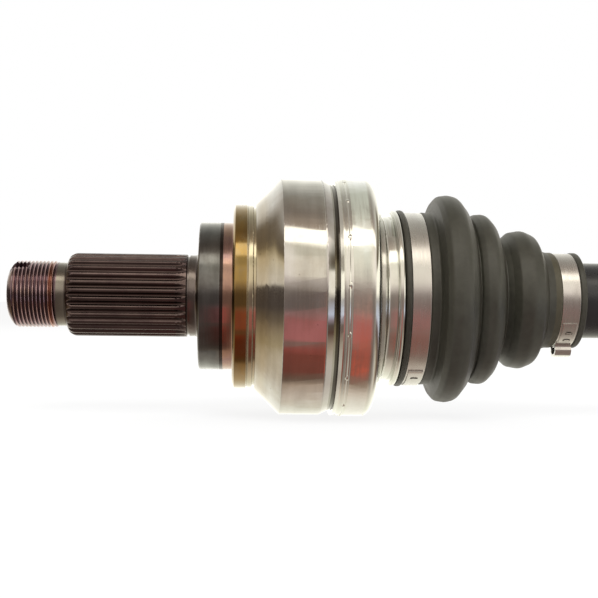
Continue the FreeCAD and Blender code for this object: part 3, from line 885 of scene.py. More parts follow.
@dataclass
class WheelBell:
    """The wheel joint's bell with its splined and threaded stub, one forging that is then turned.

    The loops are extra edges round the bell and the cap, so that their corners don't shade the bands
    between them. The places say where the outer skin is in the frame and where it goes.
    """

    tip: float = -76.5
    tip_radius: float = 9.25
    tip_chamfer: float = 4.0
    thread_radius: float = 13.5
    thread_end: float = -56.7
    thread_pitch: float = 1.5
    thread_depth: float = 0.92
    thread_runout: float = 2.2
    drill_radius: float = 3.2
    undercut_radius: float = 12.9
    spline_start: float = -52.9
    spline_end: float = -5.1
    spline_radius: float = 16.8
    spline_depth: float = 1.15
    spline_teeth: int = 30
    spline_lead_in: float = 3.5
    spline_nose: float = 3.3
    tooth_land: float = 0.2
    tooth_flank: float = 0.66
    spline_runout: float = 4.6
    neck_radius: float = 15.95
    slot_width: float = 5.0
    slot_depth: float = 3.0
    slot_length: float = 8.9
    slot_angle: float = 26.0
    cutter_radius: float = 7.0
    stub_end: float = 0.2
    blue_end: float = 8.4
    line_end: float = 9.7
    shoulder_end: float = 13.5
    rim_skin: float = 43.5
    lip_end: float = 54.0
    lip_above: float = 47.0
    lip_radius: float = 48.3
    rim_places: tuple[Pair, ...] = (
        (44.0, 44.0), (47.7, 48.9), (50.6, 53.2), (52.6, 54.0), (53.0, 54.4), (57.0, 57.0),
    )
    cap_places: tuple[Pair, ...] = (
        (52.3, 53.5), (53.0, 54.2), (59.9, 57.4), (64.0, 62.6), (70.5, 68.4), (74.3, 73.2), (77.0, 77.0),
    )
    bell_loops: tuple[float, ...] = (8.4, 9.7, 23.2, 26.2, 27.9, 48.3)
    cap_loops: tuple[float, ...] = (54.9, 56.3, 58.4, 65.0, 69.6)
    steps: int = 240

    def build(self, frame: dict, finishes: Finishes) -> None:
        """Makes the forging's three meshes and puts them in place of the frame's.

        Args:
            frame: The loaded frame.
            finishes: The finishes.
        """
        pieces = [self.bell(frame, finishes), self.spline(finishes), self.thread(finishes)]
        for piece in pieces:
            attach(piece, Body.WHEEL.value)
            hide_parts("outer_housing")
        cap = self.cap(frame, finishes)
        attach(cap, Body.WHEEL.value)
        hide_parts("outer_boot_cap")

    def bell(self, frame: dict, finishes: Finishes) -> bpy.types.Object:
        """The bell from the shoulder on, a cut copy of the frame's own with its ball tracks.

        Args:
            frame: The loaded frame.
            finishes: The finishes.

        Returns:
            The bell.
        """
        bm = frame_copy(frame, "outer_housing")
        bmesh.ops.holes_fill(bm, edges=cut_across(bm, self.spline_end + 1.2, clear_inner=True), sides=0)
        self.slide(bm, self.rim_places, self.rim_skin)
        for place in self.bell_loops:
            cut_across(bm, place)
        limits = (self.stub_end, self.blue_end, self.line_end, self.shoulder_end)
        for face in bm.faces:
            x = face.calc_center_median().x / MM
            region = sum(x > limit for limit in limits)
            face.material_index = region
            face.smooth = True
        names = ("browned_stub", "dark_shoulder", "shoulder_line", "tinted_shoulder", "turned_bell")
        return add_piece(bm, "wheel_bell", [finishes[name] for name in names], 28.0)

    def tooth_radius(self, x: float, angle: float) -> float:
        """The spline's radius at a place on its surface.

        Args:
            x: The place along the shaft.
            angle: The place round it, in radians.

        Returns:
            The radius.
        """
        turn = (angle * self.spline_teeth / (2 * math.pi)) % 1.0
        from_middle = abs(turn - 0.5) * 2
        flank = min(max((from_middle - self.tooth_land) / self.tooth_flank, 0.0), 1.0)
        flank = (1 - math.cos(math.pi * flank)) / 2
        rise = max(0.0, (x - (self.spline_end - self.spline_runout)) / self.spline_runout)
        lift = self.spline_depth * rise * rise
        root = self.spline_radius - self.spline_depth
        radius = min(self.spline_radius, root + self.spline_depth * (1 - flank) + lift)
        lead = min(max((x - self.spline_start) / self.spline_lead_in, 0.0), 1.0)
        nose = self.spline_radius - self.spline_nose * (1 - math.sqrt(1 - (1 - lead) ** 2))
        return min(radius, nose)

    def spline(self, finishes: Finishes) -> bpy.types.Object:
        """The splined part of the stub with its undercut in front and its neck behind.

        Args:
            finishes: The finishes.

        Returns:
            The spline.
        """
        stations = [self.spline_start + self.spline_lead_in * (k / 14) ** 1.6 for k in range(15)]
        middle = self.spline_end - self.spline_runout
        stations += [stations[-1] + (middle - stations[-1]) * k / 6 for k in range(1, 7)]
        stations += [middle + self.spline_runout * k / 16 for k in range(1, 17)]
        front = [
            (self.thread_end - 0.4, 0.0),
            (self.thread_end - 0.4, self.undercut_radius),
            (self.spline_start - 0.5, self.undercut_radius),
            (self.spline_start - 0.1, self.undercut_radius + 0.1),
            (self.spline_start, self.undercut_radius + 0.4),
        ]
        back = [
            (self.spline_end + 0.1, self.spline_radius - 0.1),
            (self.spline_end + 0.3, self.neck_radius + 0.1),
            (self.spline_end + 0.7, self.neck_radius),
            (-2.8, self.neck_radius - 0.1),
            (-2.0, self.neck_radius + 0.1),
            (-1.4, self.neck_radius + 0.45),
            (-0.9, self.neck_radius + 1.0),
            (-0.5, self.neck_radius + 1.8),
            (0.3, self.neck_radius + 3.4),
            (0.3, 0.0),
        ]
        outline = front + [(x, self.spline_radius) for x in stations] + back
        bm = lathe(outline, 14 * self.spline_teeth)
        low, high = stations[0], stations[-1]
        for vert in bm.verts:
            x = vert.co.x / MM
            flat = Vector((vert.co.y, vert.co.z))
            on_teeth = low - 1e-4 <= x <= high + 1e-4 and flat.length > (self.undercut_radius + 1) * MM
            if on_teeth:
                wanted = self.tooth_radius(x, math.atan2(flat.y, flat.x)) * MM
                flat = flat * (wanted / flat.length)
                vert.co.y, vert.co.z = flat
        return add_piece(bm, "wheel_spline", [finishes["browned_stub"]], 38.0)

    def thread_envelope(self, x: float) -> float:
        """The largest radius that the thread may have at a place.

        Args:
            x: The place along the shaft.

        Returns:
            The radius.
        """
        lead = min(max((x - self.tip) / self.tip_chamfer, 0.0), 1.0)
        nose = self.tip_radius + (self.thread_radius - self.tip_radius) * math.sin(lead * math.pi / 2) ** 0.8
        left = min(max((self.thread_end - x) / self.thread_runout, 0.0), 1.0)
        tail = self.undercut_radius + (self.thread_radius - self.undercut_radius) * min(1.0, left * 1.6)
        return min(nose, tail)

    def thread(self, finishes: Finishes) -> bpy.types.Object:
        """The thread as a true helix, with the drilled centre and the staking slot.

        Args:
            finishes: The finishes.

        Returns:
            The threaded end.
        """
        pitch, depth = self.thread_pitch, self.thread_depth
        root = self.thread_radius - depth
        turns = math.ceil((self.thread_end - self.tip) / pitch) + 2
        start = self.tip - 1.5 * pitch
        shape = ((0.0, root), (0.1, root), (0.3, root + 0.5 * depth), (0.5, self.thread_radius - 0.03),
                 (0.55, self.thread_radius), (0.6, self.thread_radius - 0.03), (0.8, root + 0.5 * depth))
        bm = bmesh.new()
        line = [(start + (k + share) * pitch, radius) for k in range(turns) for share, radius in shape]
        line.append((start + turns * pitch, root))
        verts = [bm.verts.new((x * MM, 0.0, radius * MM)) for x, radius in line]
        edges = [bm.edges.new(pair) for pair in zip(verts, verts[1:])]
        bmesh.ops.spin(
            bm, geom=verts + edges, cent=(0, 0, 0), axis=(1, 0, 0), dvec=(pitch * MM / self.steps, 0, 0),
            angle=2 * math.pi, steps=self.steps, use_merge=False,
        )
        for vert in bm.verts:
            x = min(max(vert.co.x / MM, self.tip), self.thread_end)
            flat = Vector((vert.co.y, vert.co.z))
            wanted = min(flat.length, self.thread_envelope(x) * MM)
            flat = flat * (wanted / flat.length)
            vert.co = (x * MM, *flat)
        bmesh.ops.remove_doubles(bm, verts=bm.verts, dist=5e-6)
        self.mill_slot(bm)
        self.close_ends(bm)
        return add_piece(bm, "wheel_thread", [finishes["rainbow_thread"]], 42.0)

    def close_ends(self, bm: bmesh.types.BMesh) -> None:
        """Closes the thread's tip with its drilled centre, and its root with a flat face.

        Args:
            bm: The thread, open at both ends.
        """
        bmesh.ops.dissolve_degenerate(bm, edges=bm.edges, dist=1e-6)
        middle = (self.tip + self.thread_end) / 2 * MM
        open_edges = [edge for edge in bm.edges if edge.is_boundary]
        tip_edges = [edge for edge in open_edges if edge.verts[0].co.x < middle]
        root_edges = [edge for edge in open_edges if edge.verts[0].co.x >= middle]
        hole = self.drill_radius
        for radius, depth in ((hole + 0.5, 0.0), (hole, 0.5), (hole * 0.5, 2.4), (0.02, 3.2)):
            grown = bmesh.ops.extrude_edge_only(bm, edges=tip_edges)["geom"]
            fresh = [item for item in grown if isinstance(item, bmesh.types.BMVert)]
            tip_edges = [item for item in grown if isinstance(item, bmesh.types.BMEdge)
                         and all(vert in fresh for vert in item.verts)]
            for vert in fresh:
                flat = Vector((vert.co.y, vert.co.z)).normalized() * radius * MM
                vert.co = ((self.tip + depth) * MM, *flat)
        bmesh.ops.contextual_create(bm, geom=tip_edges)
        bmesh.ops.contextual_create(bm, geom=root_edges)
        bmesh.ops.recalc_face_normals(bm, faces=bm.faces)
        if bm.calc_volume(signed=True) < 0:
            bmesh.ops.reverse_faces(bm, faces=bm.faces)

    def mill_slot(self, bm: bmesh.types.BMesh) -> None:
        """Presses the skin inside the staking slot's cutter down to the slot's floor.

        Args:
            bm: The thread.
        """
        sweep = math.acos(1 - self.slot_depth / self.cutter_radius)
        run = self.tip + self.slot_length - self.cutter_radius * math.sin(sweep)
        half = self.slot_width / 2
        turned = Matrix.Rotation(math.radians(self.slot_angle), 3, "X")
        back = turned.inverted()
        for vert in bm.verts:
            place = back @ (vert.co / MM)
            past = place.x - run
            if place.z < 0 or abs(place.y) > half + 0.2 or past > self.cutter_radius * math.sin(sweep):
                continue
            floor = self.thread_radius - self.slot_depth
            if past > 0:
                floor += self.cutter_radius - math.sqrt(self.cutter_radius**2 - past**2)
            if abs(place.y) < half - 0.15:
                place.z = min(place.z, floor)
            else:
                place.y = math.copysign(half, place.y)
            vert.co = (turned @ place) * MM

    def slide(self, bm: bmesh.types.BMesh, places: tuple[Pair, ...], above: float) -> None:
        """Moves the outer skin of a turned piece along the shaft.

        Args:
            bm: The piece.
            places: Where it is and where it goes, as pairs in millimetres in order.
            above: The radius in millimetres above which a point counts as outer skin.
        """
        for vert in bm.verts:
            x = vert.co.x / MM
            if math.hypot(vert.co.y, vert.co.z) < above * MM or not places[0][0] < x < places[-1][0]:
                continue
            for (x0, y0), (x1, y1) in zip(places, places[1:]):
                if x0 <= x <= x1:
                    vert.co.x = (y0 + (y1 - y0) * (x - x0) / (x1 - x0)) * MM
                    break

    def cap(self, frame: dict, finishes: Finishes) -> bpy.types.Object:
        """The boot's pressed cap, a copy of the frame's with its seam and corner as the photograph has them.

        Args:
            frame: The loaded frame.
            finishes: The finishes.

        Returns:
            The cap.
        """
        bm = frame_copy(frame, "outer_boot_cap")
        self.slide(bm, self.cap_places, 0.0)
        for vert in bm.verts:
            radius = math.hypot(vert.co.y, vert.co.z)
            if vert.co.x < self.lip_end * MM and radius > self.lip_above * MM:
                vert.co.y *= self.lip_radius * MM / radius
                vert.co.z *= self.lip_radius * MM / radius
        for place in self.cap_loops:
            cut_across(bm, place)
        for face in bm.faces:
            face.smooth = True
        return add_piece(bm, "wheel_cap", [finishes["cap_zinc"]], 28.0)


@dataclass
class CapCrimps:
    """The small nibs on the cap's seam where it is staked to the bell."""

    seam: float = 57.4
    radius: float = 47.85
    count: int = 16
    first_angle: float = 16.9
    size: float = 1.15

    def build(self, finishes: Finishes) -> None:
        """Makes the nibs as one piece of separate beads.

        Args:
            finishes: The finishes.
        """
        bm = bmesh.new()
        for k in range(self.count):
            angle = math.radians(self.first_angle + 360 * k / self.count)
            made = bmesh.ops.create_uvsphere(bm, u_segments=14, v_segments=8, radius=self.size * MM)["verts"]
            bmesh.ops.scale(bm, verts=made, vec=(1.0, 1.25, 0.62))
            bmesh.ops.translate(bm, verts=made, vec=(self.seam * MM, 0, self.radius * MM))
            bmesh.ops.rotate(bm, verts=made, cent=(0, 0, 0), matrix=Matrix.Rotation(angle, 3, "X"))
        piece = add_piece(bm, "cap_crimps", [finishes["cap_zinc"]])
        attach(piece, Body.WHEEL.value)


@dataclass(frozen=True)
class Section:
    """A stretch of a boot between two neighbouring bodies, in millimetres along X."""

    first: Body
    second: Body
    start: float
    end: float


@dataclass
class Boot:
    """A bellows boot, cut into stretches at the places where the joint's bodies meet."""

    name: str
    outline: list[Corner]
    inner: list[Corner]
    sections: list[Section]
    small_body: Body
    large_body: Body
    replaced: str
    collar_limits: tuple[float, float]
    steps: int = 144

    def whole(self) -> bmesh.types.BMesh:
        """The boot in one piece, from its outer outline and its inner one.

        Returns:
            The boot's closed mesh.
        """
        outer = rounded(self.outline, 9.0)
        inner = rounded(self.inner, 16.0)
        return lathe(outer + inner[::-1], self.steps, closed=True)

    def stretch(self, whole: bmesh.types.BMesh, low: float | None, high: float | None) -> bmesh.types.BMesh:
        """Cuts one stretch out of the boot and closes its cut ends.

        Args:
            whole: The whole boot.
            low: The lower end along X, or None for the boot's own end.
            high: The upper end along X, or None for the boot's own end.

        Returns:
            The stretch.
        """
        bm = whole.copy()
        for place, side in ((low, -1.0), (high, 1.0)):
            if place is not None:
                bmesh.ops.bridge_loops(bm, edges=cut_across(bm, place, side, 1e-7, clear_outer=True))
        bmesh.ops.recalc_face_normals(bm, faces=bm.faces)
        return bm

    def build(self, finishes: Finishes) -> None:
        """Makes the stretches: the two end pieces ride on their bodies, and the folds ride on none.

        Args:
            finishes: The finishes.
        """
        whole = self.whole()
        low_collar, high_collar = self.collar_limits
        for face in whole.faces:
            x = face.calc_center_median().x / MM
            face.material_index = int(low_collar < x < high_collar)
        skins = [finishes["boot_skin"], finishes["collar_skin"]]
        ordered = sorted(self.sections, key=lambda section: min(section.start, section.end))
        first_end = min(ordered[0].start, ordered[0].end)
        last_end = max(ordered[-1].start, ordered[-1].end)
        ends = (
            ("left_end", None, first_end),
            ("right_end", last_end, None),
        )
        for label, low, high in ends:
            piece = add_piece(self.stretch(whole, low, high), self.name + "_" + label, skins, 50.0)
            at_small = (label == "right_end") == (self.large_body is Body.WHEEL)
            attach(piece, (self.small_body if at_small else self.large_body).value)
            self.declare()
        for number, section in enumerate(ordered, start=1):
            low, high = sorted((section.start, section.end))
            piece = add_piece(self.stretch(whole, low, high), f"{self.name}_fold_{number}", skins, 50.0)
            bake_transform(piece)
            self.declare()
        whole.free()

    def declare(self) -> None:
        """Hides the frame's node that the stretches stand in for."""
        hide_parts(self.replaced)


@dataclass
class BandClamp:
    """A steel band round a boot, with its lapped tail, the tail's hooks and windows, and maybe an ear.

    The windows' and hooks' degrees hold for a band of the radius degrees_at. Their length is the same on
    every band.
    """

    name: str
    node: str
    middle: float
    inside: float
    body: Body
    lap_start: float
    lap_angle: float = 56.0
    sheet: float = 1.0
    lap_sheet: float = 0.6
    width: float = 7.4
    windows: tuple[float, ...] = ()
    tail_share: float = 0.8
    window_width: float = 3.0
    hook_width: float = 2.0
    window_degrees: float = 4.6
    hook_degrees: float = 1.7
    degrees_at: float = 19.4
    ear_angle: float | None = None
    ear_width: float = 9.0
    ear_height: float = 4.2

    def build(self, finishes: Finishes) -> None:
        """Makes the band, its tail and its ear as one piece.

        Args:
            finishes: The finishes.
        """
        half = self.width / 2
        outside = self.inside + self.sheet
        left, right = self.middle - half, self.middle + half
        corners = [
            (self.middle, self.inside), (right, self.inside), (right, outside, 0.25), (right - 0.5, outside),
            (left + 0.5, outside), (left, outside, 0.25), (left, self.inside), (self.middle, self.inside),
        ]
        bm = lathe(rounded(corners, 22.0)[:-1], 144, closed=True)
        obj = add_piece(bm, self.name, [finishes["band_steel"]], 40.0)
        parts = [obj, self.tail(finishes, outside)]
        if self.ear_angle is not None:
            parts.append(self.ear(finishes, outside))
        merged = bmesh.new()
        for part in parts:
            merged.from_mesh(part.data)
        for part in parts:
            data = part.data
            bpy.data.objects.remove(part)
            bpy.data.meshes.remove(data)
        obj = add_piece(merged, self.name, [finishes["band_steel"]], 34.0)
        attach(obj, self.body.value)
        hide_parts(self.node)

    def swept(self, width: float, base: float, top: float, start: float, angle: float) -> bmesh.types.BMesh:
        """A flat strip swept part of the way round the shaft, in the middle of the band.

        Args:
            width: The strip's width along X.
            base: Its inner radius.
            top: Its outer radius.
            start: Where it begins, in degrees round the shaft from the top.
            angle: How far it goes, in degrees.

        Returns:
            The closed strip.
        """
        bm = bmesh.new()
        low, high = self.middle - width / 2, self.middle + width / 2
        spots = ((low, base), (low, top), (high, top), (high, base))
        face = bm.faces.new([bm.verts.new((x * MM, 0, radius * MM)) for x, radius in spots])
        bmesh.ops.spin(
            bm, geom=[face, *face.edges, *face.verts], cent=(0, 0, 0), axis=(1, 0, 0), dvec=(0, 0, 0),
            angle=math.radians(angle), steps=max(2, round(angle / 2.5)), use_merge=False,
        )
        turn = Matrix.Rotation(math.radians(start), 3, "X")
        bmesh.ops.rotate(bm, verts=bm.verts, cent=(0, 0, 0), matrix=turn)
        bmesh.ops.remove_doubles(bm, verts=bm.verts, dist=1e-7)
        bmesh.ops.recalc_face_normals(bm, faces=bm.faces)
        return bm

    def tail(self, finishes: Finishes, outside: float) -> bpy.types.Object:
        """The tail that lies over the first turn, with its windows and the hooks in them.

        Args:
            finishes: The finishes.
            outside: The band's outer radius.

        Returns:
            The tail.
        """
        width = self.tail_share * self.width
        top = outside + self.lap_sheet
        bm = self.swept(width, outside - 0.1, top, self.lap_start, self.lap_angle)
        bevel = [
            edge for edge in bm.edges if not edge.is_boundary and edge.calc_face_angle(0) > math.radians(60)
        ]
        bmesh.ops.bevel(
            bm, geom=bevel, offset=0.14 * MM, offset_type="OFFSET", segments=2, profile=0.5, affect="EDGES",
            material=-1,
        )
        for edge in (width / 2 - 0.4, 0.4 - width / 2):
            cut_across(bm, self.middle + edge, dist=1e-7)
        obj = add_piece(bm, self.name + "_tail", [finishes["band_steel"]])
        spots = [self.lap_start + share * self.lap_angle for share in self.windows]
        angle = self.window_degrees * self.degrees_at / outside
        carve(obj, [
            self.swept(self.window_width, outside + 0.05, top + 0.5, spot, angle) for spot in spots
        ])
        angle = self.hook_degrees * self.degrees_at / outside
        for spot in spots:
            hook = self.swept(self.hook_width, outside - 0.1, top + 0.35, spot + 0.8, angle)
            data = bmesh.new()
            data.from_mesh(obj.data)
            mesh = bpy.data.meshes.new("hook")
            hook.to_mesh(mesh)
            hook.free()
            data.from_mesh(mesh)
            data.to_mesh(obj.data)
            data.free()
            bpy.data.meshes.remove(mesh)
        return obj

    def ear(self, finishes: Finishes, outside: float) -> bpy.types.Object:
        """The pinched ear: an arch of sheet across the band.

        Args:
            finishes: The finishes.
            outside: The band's outer radius.

        Returns:
            The ear.
        """
        half = self.ear_width / 2
        base = math.sqrt(outside**2 - half**2) - 0.3
        top, shoulder, waist = (
            outside + self.ear_height, base + 0.75 * self.ear_height, base + 0.36 * self.ear_height,
        )
        path = [
            (-half, base), (-0.74 * half, waist), (-0.8 * half, shoulder), (-0.45 * half, top),
            (0.45 * half, top), (0.8 * half, shoulder), (0.74 * half, waist), (half, base),
        ]
        corners = [(y, z, 0.0 if i in (0, len(path) - 1) else 1.2) for i, (y, z) in enumerate(path)]
        outer = rounded(corners, 20.0)
        inner = rounded(offset_corners(corners, 0.9 * self.sheet), 20.0)
        length = 0.9 * self.width
        bm = bmesh.new()
        side = (self.middle - length / 2) * MM
        face = bm.faces.new([bm.verts.new((side, y * MM, z * MM)) for y, z in outer + inner[::-1]])
        grown = bmesh.ops.extrude_face_region(bm, geom=[face])["geom"]
        moved = [item for item in grown if isinstance(item, bmesh.types.BMVert)]
        bmesh.ops.translate(bm, verts=moved, vec=(length * MM, 0, 0))
        bmesh.ops.recalc_face_normals(bm, faces=bm.faces)
        turn = Matrix.Rotation(math.radians(self.ear_angle), 3, "X")
        bmesh.ops.rotate(bm, verts=bm.verts, cent=(0, 0, 0), matrix=turn)
        return add_piece(bm, self.name + "_ear", [finishes["band_steel"]])


@dataclass
class Studio:
    """The pale floor, the light and the camera of the photograph.

    Glossy rays see coloured bands. The ramps around, around_plain and around_cap are read by a ray's angle
    about X in degrees, from 0 towards the camera to 90 upwards. The ramps wheelward and gearboxward are
    read by its Z and serve the rays that leave along the shaft. The masks between them are read by the
    ray's X, which tells the shaft's cones and shoulders apart.
    """

    floor_z: float = -48.7
    floor_reach: float = 6000.0
    camera_x: float = 16.4
    camera_y: float = -450.0
    aim_degrees: float = 3.09
    dip_degrees: float = -0.1
    roll_degrees: float = 0.72
    lens: float = 65.83
    surroundings: float = 1.9
    strip_degrees: tuple[float, float] = (51.5, 68.5)
    strip_glow: float = 1.3
    strip_fade: float = 1.5
    plain_light: Colour = (0.62, 0.62, 0.62)
    ends_mask: Pair = (0.5, 0.75)
    wheel_mask: Pair = (-0.035, -0.07)
    cone_mask: Pair = (0.14, 0.155)
    cone_share: float = 0.75
    boot_mask: Pair = (0.19, 0.25)
    cap_mask: tuple[Pair, Pair] = ((0.09, 0.1), (0.128, 0.136))
    edge_mask: tuple[Pair, Pair] = ((0.33, 0.4), (0.6, 0.7))
    edge_share: float = 0.6
    front_mask: tuple[Pair, Pair] = ((11.0, 17.0), (68.0, 74.0))
    front_floor: float = 0.25
    around: tuple[Stop, ...] = (
        (-180.0, 236, 234, 226), (-141.0, 209, 208, 193), (-113.0, 194, 183, 169), (-93.0, 160, 142, 125),
        (-87.0, 100, 83, 71), (-75.0, 104, 60, 50), (-56.0, 110, 60, 50), (-50.0, 130, 68, 60),
        (-46.5, 119, 90, 82), (-43.0, 119, 90, 82), (-39.5, 154, 94, 91), (-20.0, 152, 95, 93),
        (-15.5, 142, 108, 106), (-11.0, 101, 91, 87), (2.0, 101, 91, 87), (7.0, 120, 110, 103),
        (13.0, 168, 158, 149), (20.0, 212, 204, 188), (36.0, 216, 208, 191), (41.0, 192, 186, 168),
        (49.0, 194, 188, 170), (52.0, 238, 232, 214), (68.0, 240, 234, 218), (70.0, 156, 141, 125),
        (87.0, 119, 109, 98), (115.0, 139, 136, 127), (145.0, 202, 201, 191), (180.0, 236, 234, 226),
    )
    around_plain: tuple[Stop, ...] = (
        (-180.0, 236, 234, 226), (-141.0, 209, 208, 193), (-113.0, 180, 172, 160), (-90.0, 124, 115, 106),
        (-60.0, 102, 93, 86), (-10.0, 104, 95, 89), (4.0, 116, 107, 101), (14.0, 190, 180, 172),
        (20.0, 216, 207, 196), (36.0, 220, 212, 200), (49.0, 205, 198, 184), (52.0, 232, 226, 212),
        (68.0, 220, 212, 198), (70.0, 150, 138, 126), (87.0, 122, 114, 106), (115.0, 139, 136, 129),
        (145.0, 202, 201, 193), (180.0, 236, 234, 226),
    )
    around_cap: tuple[Stop, ...] = (
        (-180.0, 236, 234, 226), (-120.0, 200, 195, 185), (-104.0, 180, 167, 156), (-92.0, 120, 102, 88),
        (-82.0, 130, 86, 75), (-74.0, 168, 80, 62), (-38.0, 155, 78, 65), (-24.0, 150, 84, 74),
        (-10.0, 155, 118, 106), (10.0, 145, 131, 123), (25.0, 155, 151, 143), (36.0, 188, 188, 177),
        (46.0, 228, 228, 220), (68.0, 236, 234, 226), (80.0, 202, 202, 190), (92.0, 180, 181, 170),
        (118.0, 170, 172, 162), (147.0, 210, 211, 208), (180.0, 236, 234, 226),
    )
    wheelward: tuple[Stop, ...] = (
        (-1.0, 236, 234, 226), (-0.6, 190, 182, 165), (-0.495, 174, 162, 139), (-0.427, 150, 135, 105),
        (-0.3, 125, 110, 88), (-0.23, 100, 88, 72), (-0.1, 70, 62, 56), (0.1, 74, 66, 60),
        (0.13, 202, 193, 176), (0.25, 194, 184, 162), (0.36, 188, 174, 144), (0.41, 150, 135, 105),
        (0.45, 110, 97, 76), (0.5, 98, 87, 71), (0.6, 112, 102, 88), (1.0, 236, 234, 226),
    )
    gearboxward: tuple[Stop, ...] = (
        (-1.0, 236, 234, 226), (-0.6, 150, 137, 120), (-0.45, 85, 64, 54), (-0.36, 86, 76, 68),
        (-0.3, 137, 124, 130), (-0.22, 187, 193, 208), (-0.1, 165, 165, 172), (-0.03, 147, 141, 137),
        (0.06, 240, 235, 220), (0.33, 240, 235, 220), (0.38, 120, 115, 100), (0.45, 90, 80, 65),
        (0.52, 100, 92, 78), (0.8, 200, 198, 188), (1.0, 236, 234, 226),
    )
    edge_glow: Colour = tone(214, 204, 196)

    def build(self) -> None:
        """Sets the world, the lamps, the floor and the camera."""
        scene = bpy.context.scene
        scene.view_settings.view_transform = "Standard"
        self.world(scene)
        self.floor()
        self.lamp("key_lamp", (-120.0, -700.0, 900.0), 700.0, 9.0)
        self.lamp("fill_lamp", (650.0, -500.0, 500.0), 800.0, 4.0)
        self.lamp("back_lamp", (200.0, 800.0, 700.0), 900.0, 6.0)
        self.camera(scene)

    def ramp(
        self, weave: Weave, place: bpy.types.NodeSocket, stops: tuple[Stop, ...], reach: float
    ) -> bpy.types.NodeSocket:
        """A colour that depends on a direction.

        Args:
            weave: The world's weave.
            place: Where the direction lies in the ramp, from 0 to 1.
            stops: Places and colours in order.
            reach: The stops' highest place, which is also their lowest one below zero.

        Returns:
            The colour's socket.
        """
        node = weave.add("ValToRGB")
        weave.put(node.inputs[0], place)
        elements = node.color_ramp.elements
        while len(elements) < len(stops):
            elements.new(0.5)
        for element, (spot, *shown) in zip(elements, stops):
            element.position = (spot / reach + 1.0) / 2.0
            element.color = (*tone(*shown), 1.0)
        return node.outputs[0]

    def world(self, scene: bpy.types.Scene) -> None:
        """The studio all round: white to the camera, plain light on the object, soft bands in its metal.

        Args:
            scene: The scene that gets the world.
        """
        world = bpy.data.worlds.new("studio")
        scene.world = world
        weave = cleared(world)
        x, y, z = weave.split(weave.add("TexCoord").outputs["Generated"])
        angle = weave.math("ARCTAN2", z, weave.math("MULTIPLY", y, -1.0))
        share = weave.math("ADD", weave.math("DIVIDE", angle, 2 * math.pi), 0.5)
        round_about = self.ramp(weave, share, self.around, 180.0)
        height = weave.math("MULTIPLY_ADD", z, 0.5, 0.5)
        plain_round = self.ramp(weave, share, self.around_plain, 180.0)
        wheel_end = self.ramp(weave, height, self.wheelward, 1.0)
        gearbox_end = self.ramp(weave, height, self.gearboxward, 1.0)
        end_view = weave.blend(weave.ranged(x, -0.05, 0.05, 0.0, 1.0), wheel_end, gearbox_end)
        reach = weave.math("ABSOLUTE", x)
        sideways = weave.ranged(reach, *self.ends_mask, 0.0, 1.0)
        aside = weave.ranged(x, *self.wheel_mask, 0.0, 1.0)
        for mask, most in ((self.boot_mask, 1.0), (self.cone_mask, self.cone_share)):
            aside = weave.math("MAXIMUM", aside, weave.ranged(x, *mask, 0.0, most))
        round_about = weave.blend(aside, round_about, plain_round)
        on_cap = weave.window(x, *self.cap_mask)
        round_about = weave.blend(on_cap, round_about, self.ramp(weave, share, self.around_cap, 180.0))
        rise, fall = (tuple(math.radians(edge) for edge in pair) for pair in self.front_mask)
        front = weave.window(angle, rise, fall, self.front_floor)
        edges = weave.math("MULTIPLY", weave.window(reach, *self.edge_mask, peak=self.edge_share), front)
        bands = weave.blend(edges, weave.blend(sideways, round_about, end_view), self.edge_glow)
        path = weave.add("LightPath")
        seen = weave.blend(path.outputs["Is Glossy Ray"], self.plain_light, bands)
        fade = math.radians(self.strip_fade)
        low, high = (math.radians(edge) for edge in self.strip_degrees)
        strip = weave.window(
            angle, (low - fade, low + fade), (high - fade, high + fade), peak=self.strip_glow
        )
        strip = weave.math("MULTIPLY", strip, weave.math("SUBTRACT", 1.0, sideways))
        glow = weave.math("ADD", strip, self.surroundings - 1.0)
        strength = weave.math("ADD", weave.math("MULTIPLY", path.outputs["Is Glossy Ray"], glow), 1.0)
        clear = weave.math("MAXIMUM", path.outputs["Is Camera Ray"], path.outputs["Is Transmission Ray"])
        light, backdrop = weave.add("Background"), weave.add("Background")
        weave.put(light.inputs[0], seen)
        weave.put(light.inputs[1], strength)
        weave.put(backdrop.inputs[0], (1.0, 1.0, 1.0))
        mix = weave.add("MixShader")
        weave.put(mix.inputs[0], clear)
        weave.put(mix.inputs[1], light.outputs[0])
        weave.put(mix.inputs[2], backdrop.outputs[0])
        weave.put(weave.add("OutputWorld").inputs[0], mix.outputs[0])

    def floor(self) -> None:
        """The pale floor that takes the object's soft shadow."""
        bm = bmesh.new()
        bmesh.ops.create_grid(bm, x_segments=1, y_segments=1, size=self.floor_reach * MM)
        bmesh.ops.translate(bm, verts=bm.verts, vec=(0.25, 0, self.floor_z * MM))
        material = bpy.data.materials.new("pale_floor")
        weave = cleared(material)
        matt = weave.add("BsdfDiffuse")
        weave.put(matt.inputs[0], (0.86, 0.86, 0.85))
        glow = weave.add("Emission")
        weave.put(glow.inputs[0], (1.0, 1.0, 1.0))
        path = weave.add("LightPath")
        mix = weave.add("MixShader")
        weave.put(mix.inputs[0], weave.math("MULTIPLY", path.outputs["Is Camera Ray"], 0.86))
        weave.put(mix.inputs[1], matt.outputs[0])
        weave.put(mix.inputs[2], glow.outputs[0])
        weave.put(weave.add("OutputMaterial").inputs[0], mix.outputs[0])
        floor = add_piece(bm, "floor", [material])
        floor.visible_glossy = False

